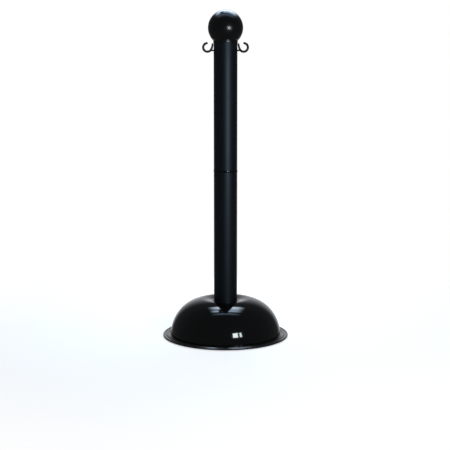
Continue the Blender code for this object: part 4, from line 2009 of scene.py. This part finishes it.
def overhead_lamps() -> list[Softbox]:
    """The softboxes that hang over the object and face straight down.

    Returns:
        The lamps, from the furthest to the nearest.
    """
    above = 1.70
    pale, cool, deep = (0.70, 0.84, 1.0), (0.59, 0.77, 1.0), (0.51, 0.73, 1.0)
    rows = (
        ("overhead_far", (0.04, 0.915), (1.30, 0.61), 8.8, pale, (0.34, 0.34, 0.10, 0.3)),
        ("overhead_mid", (0.285, 0.385), (0.81, 0.45), 6.4, cool, (0.06, 0.5, 0.25, 0.05)),
        ("overhead_side", (-0.415, 0.35), (0.39, 0.35), 7.2, cool, (0.7, 0.1, 0.25, 0.2)),
        ("overhead_near", (0.02, -0.06), (1.40, 0.32), 1.8, deep, (0.3, 0.3, 0.5, 0.3)),
    )
    return [
        Softbox(name, (*spot, above), (*spot, 0.0), *size, glow, tint, fade)
        for name, spot, size, glow, tint, fade in rows
    ]


@dataclass
class Studio:
    """A pale floor, soft lamps and the camera."""

    camera_place: Place = (-0.0017, -2.8758, 0.7244)
    camera_tilt: float = 82.824
    lens: float = 71.9086
    sensor: float = 36.0
    surround: float = 0.088
    surround_tint: Colour = (0.92, 0.96, 1.0)
    floor_half: float = 30.0
    floor_shade: Colour = (0.86, 0.86, 0.86)
    floor_lift: float = 0.58
    glow_starts: float = 0.5
    glow_full: float = 1.3
    lamps: tuple[Softbox, ...] = (
        *overhead_lamps(),
        Softbox(
            name="window_left",
            place=(0.70, -1.865, 0.79),
            aim=(0.0, 0.0, 0.5),
            wide=0.40,
            high=0.45,
            glow=22.0,
            tint=(0.90, 0.97, 1.0),
            fade=(0.08, 0.08, 0.08, 0.08),
        ),
        Softbox(
            name="window_right",
            place=(1.05, -1.70, 0.79),
            aim=(0.0, 0.0, 0.5),
            wide=0.16,
            high=0.45,
            glow=20.0,
            tint=(0.86, 1.0, 0.98),
            fade=(0.10, 0.10, 0.10, 0.10),
        ),
        Softbox(
            name="low_sweep",
            place=(0.07, 1.05, 0.305),
            aim=(0.07, 0.0, 0.305),
            wide=2.1,
            high=1.29,
            glow=0.78,
            tint=(0.95, 0.96, 1.0),
            fade=(0.34, 0.34, 0.1, 0.66),
        ),
    )

    def make(self) -> None:
        """Set up the floor, the surround, the lamps and the camera."""
        clear_bench()
        self.lay_floor()
        self.light_surround()
        for lamp in self.lamps:
            lamp.set_up()
            LOG.info("lamp %s", lamp.name)
        tilt = (radians(self.camera_tilt), 0, 0)
        bpy.ops.object.camera_add(location=self.camera_place, rotation=tilt)
        camera = bpy.context.object
        camera.name = "camera"
        camera.data.lens = self.lens
        camera.data.sensor_width = self.sensor
        bpy.context.scene.camera = camera
        bpy.context.scene.view_settings.view_transform = "Standard"

    def lay_floor(self) -> None:
        """Lay the floor: matt white round the object, and glowing white further off."""
        bpy.ops.mesh.primitive_plane_add(size=2 * self.floor_half, location=(0, 0, 0))
        ground = label("studio_floor")
        board = Board.of_material("white_floor")
        away = board.node("ShaderNodeVectorMath", {"operation": "LENGTH"}, {0: board.place()}, "Value")
        far = board.between(away, self.glow_starts, self.glow_full)
        matt = board.node("ShaderNodeBsdfDiffuse", {}, {"Color": (*self.floor_shade, 1)})
        lift = board.node("ShaderNodeEmission", {}, {"Strength": self.floor_lift})
        near = board.node("ShaderNodeAddShader", {}, {0: matt, 1: lift})
        glow = board.node("ShaderNodeEmission", {}, {"Strength": 1.0})
        whole = board.node("ShaderNodeMixShader", {}, {0: far, 1: near, 2: glow})
        ground.data.materials.append(board.finish_with(whole))
        ground.visible_glossy = False

    def light_surround(self) -> None:
        """Make the world white behind the object, and dim in its reflections."""
        world = bpy.data.worlds.new("studio")
        bpy.context.scene.world = world
        board = Board(world, Owner.WORLD)
        dim_inputs = {"Color": (*self.surround_tint, 1), "Strength": self.surround}
        dim = board.node("ShaderNodeBackground", {}, dim_inputs)
        white = board.node("ShaderNodeBackground", {}, {"Color": (1, 1, 1, 1)})
        seen = board.node("ShaderNodeLightPath", output="Is Camera Ray")
        board.finish_with(board.node("ShaderNodeMixShader", {}, {0: seen, 1: dim, 2: white}))


def main() -> None:
    """Build the stanchion from the floor up, then its studio."""
    logging.basicConfig(level=logging.INFO, format="%(message)s")
    Studio().make()
    for assembly in (
        DomedBase(),
        BottomCover(),
        SandBallast(),
        CoverScrews(),
        RubberFeet(),
        FillPlug(),
        Post(),
        RopeHooks(),
        BallTop(),
    ):
        LOG.info("building %s", type(assembly).__name__)
        assembly.make()


if __name__ == "__main__":
    main()
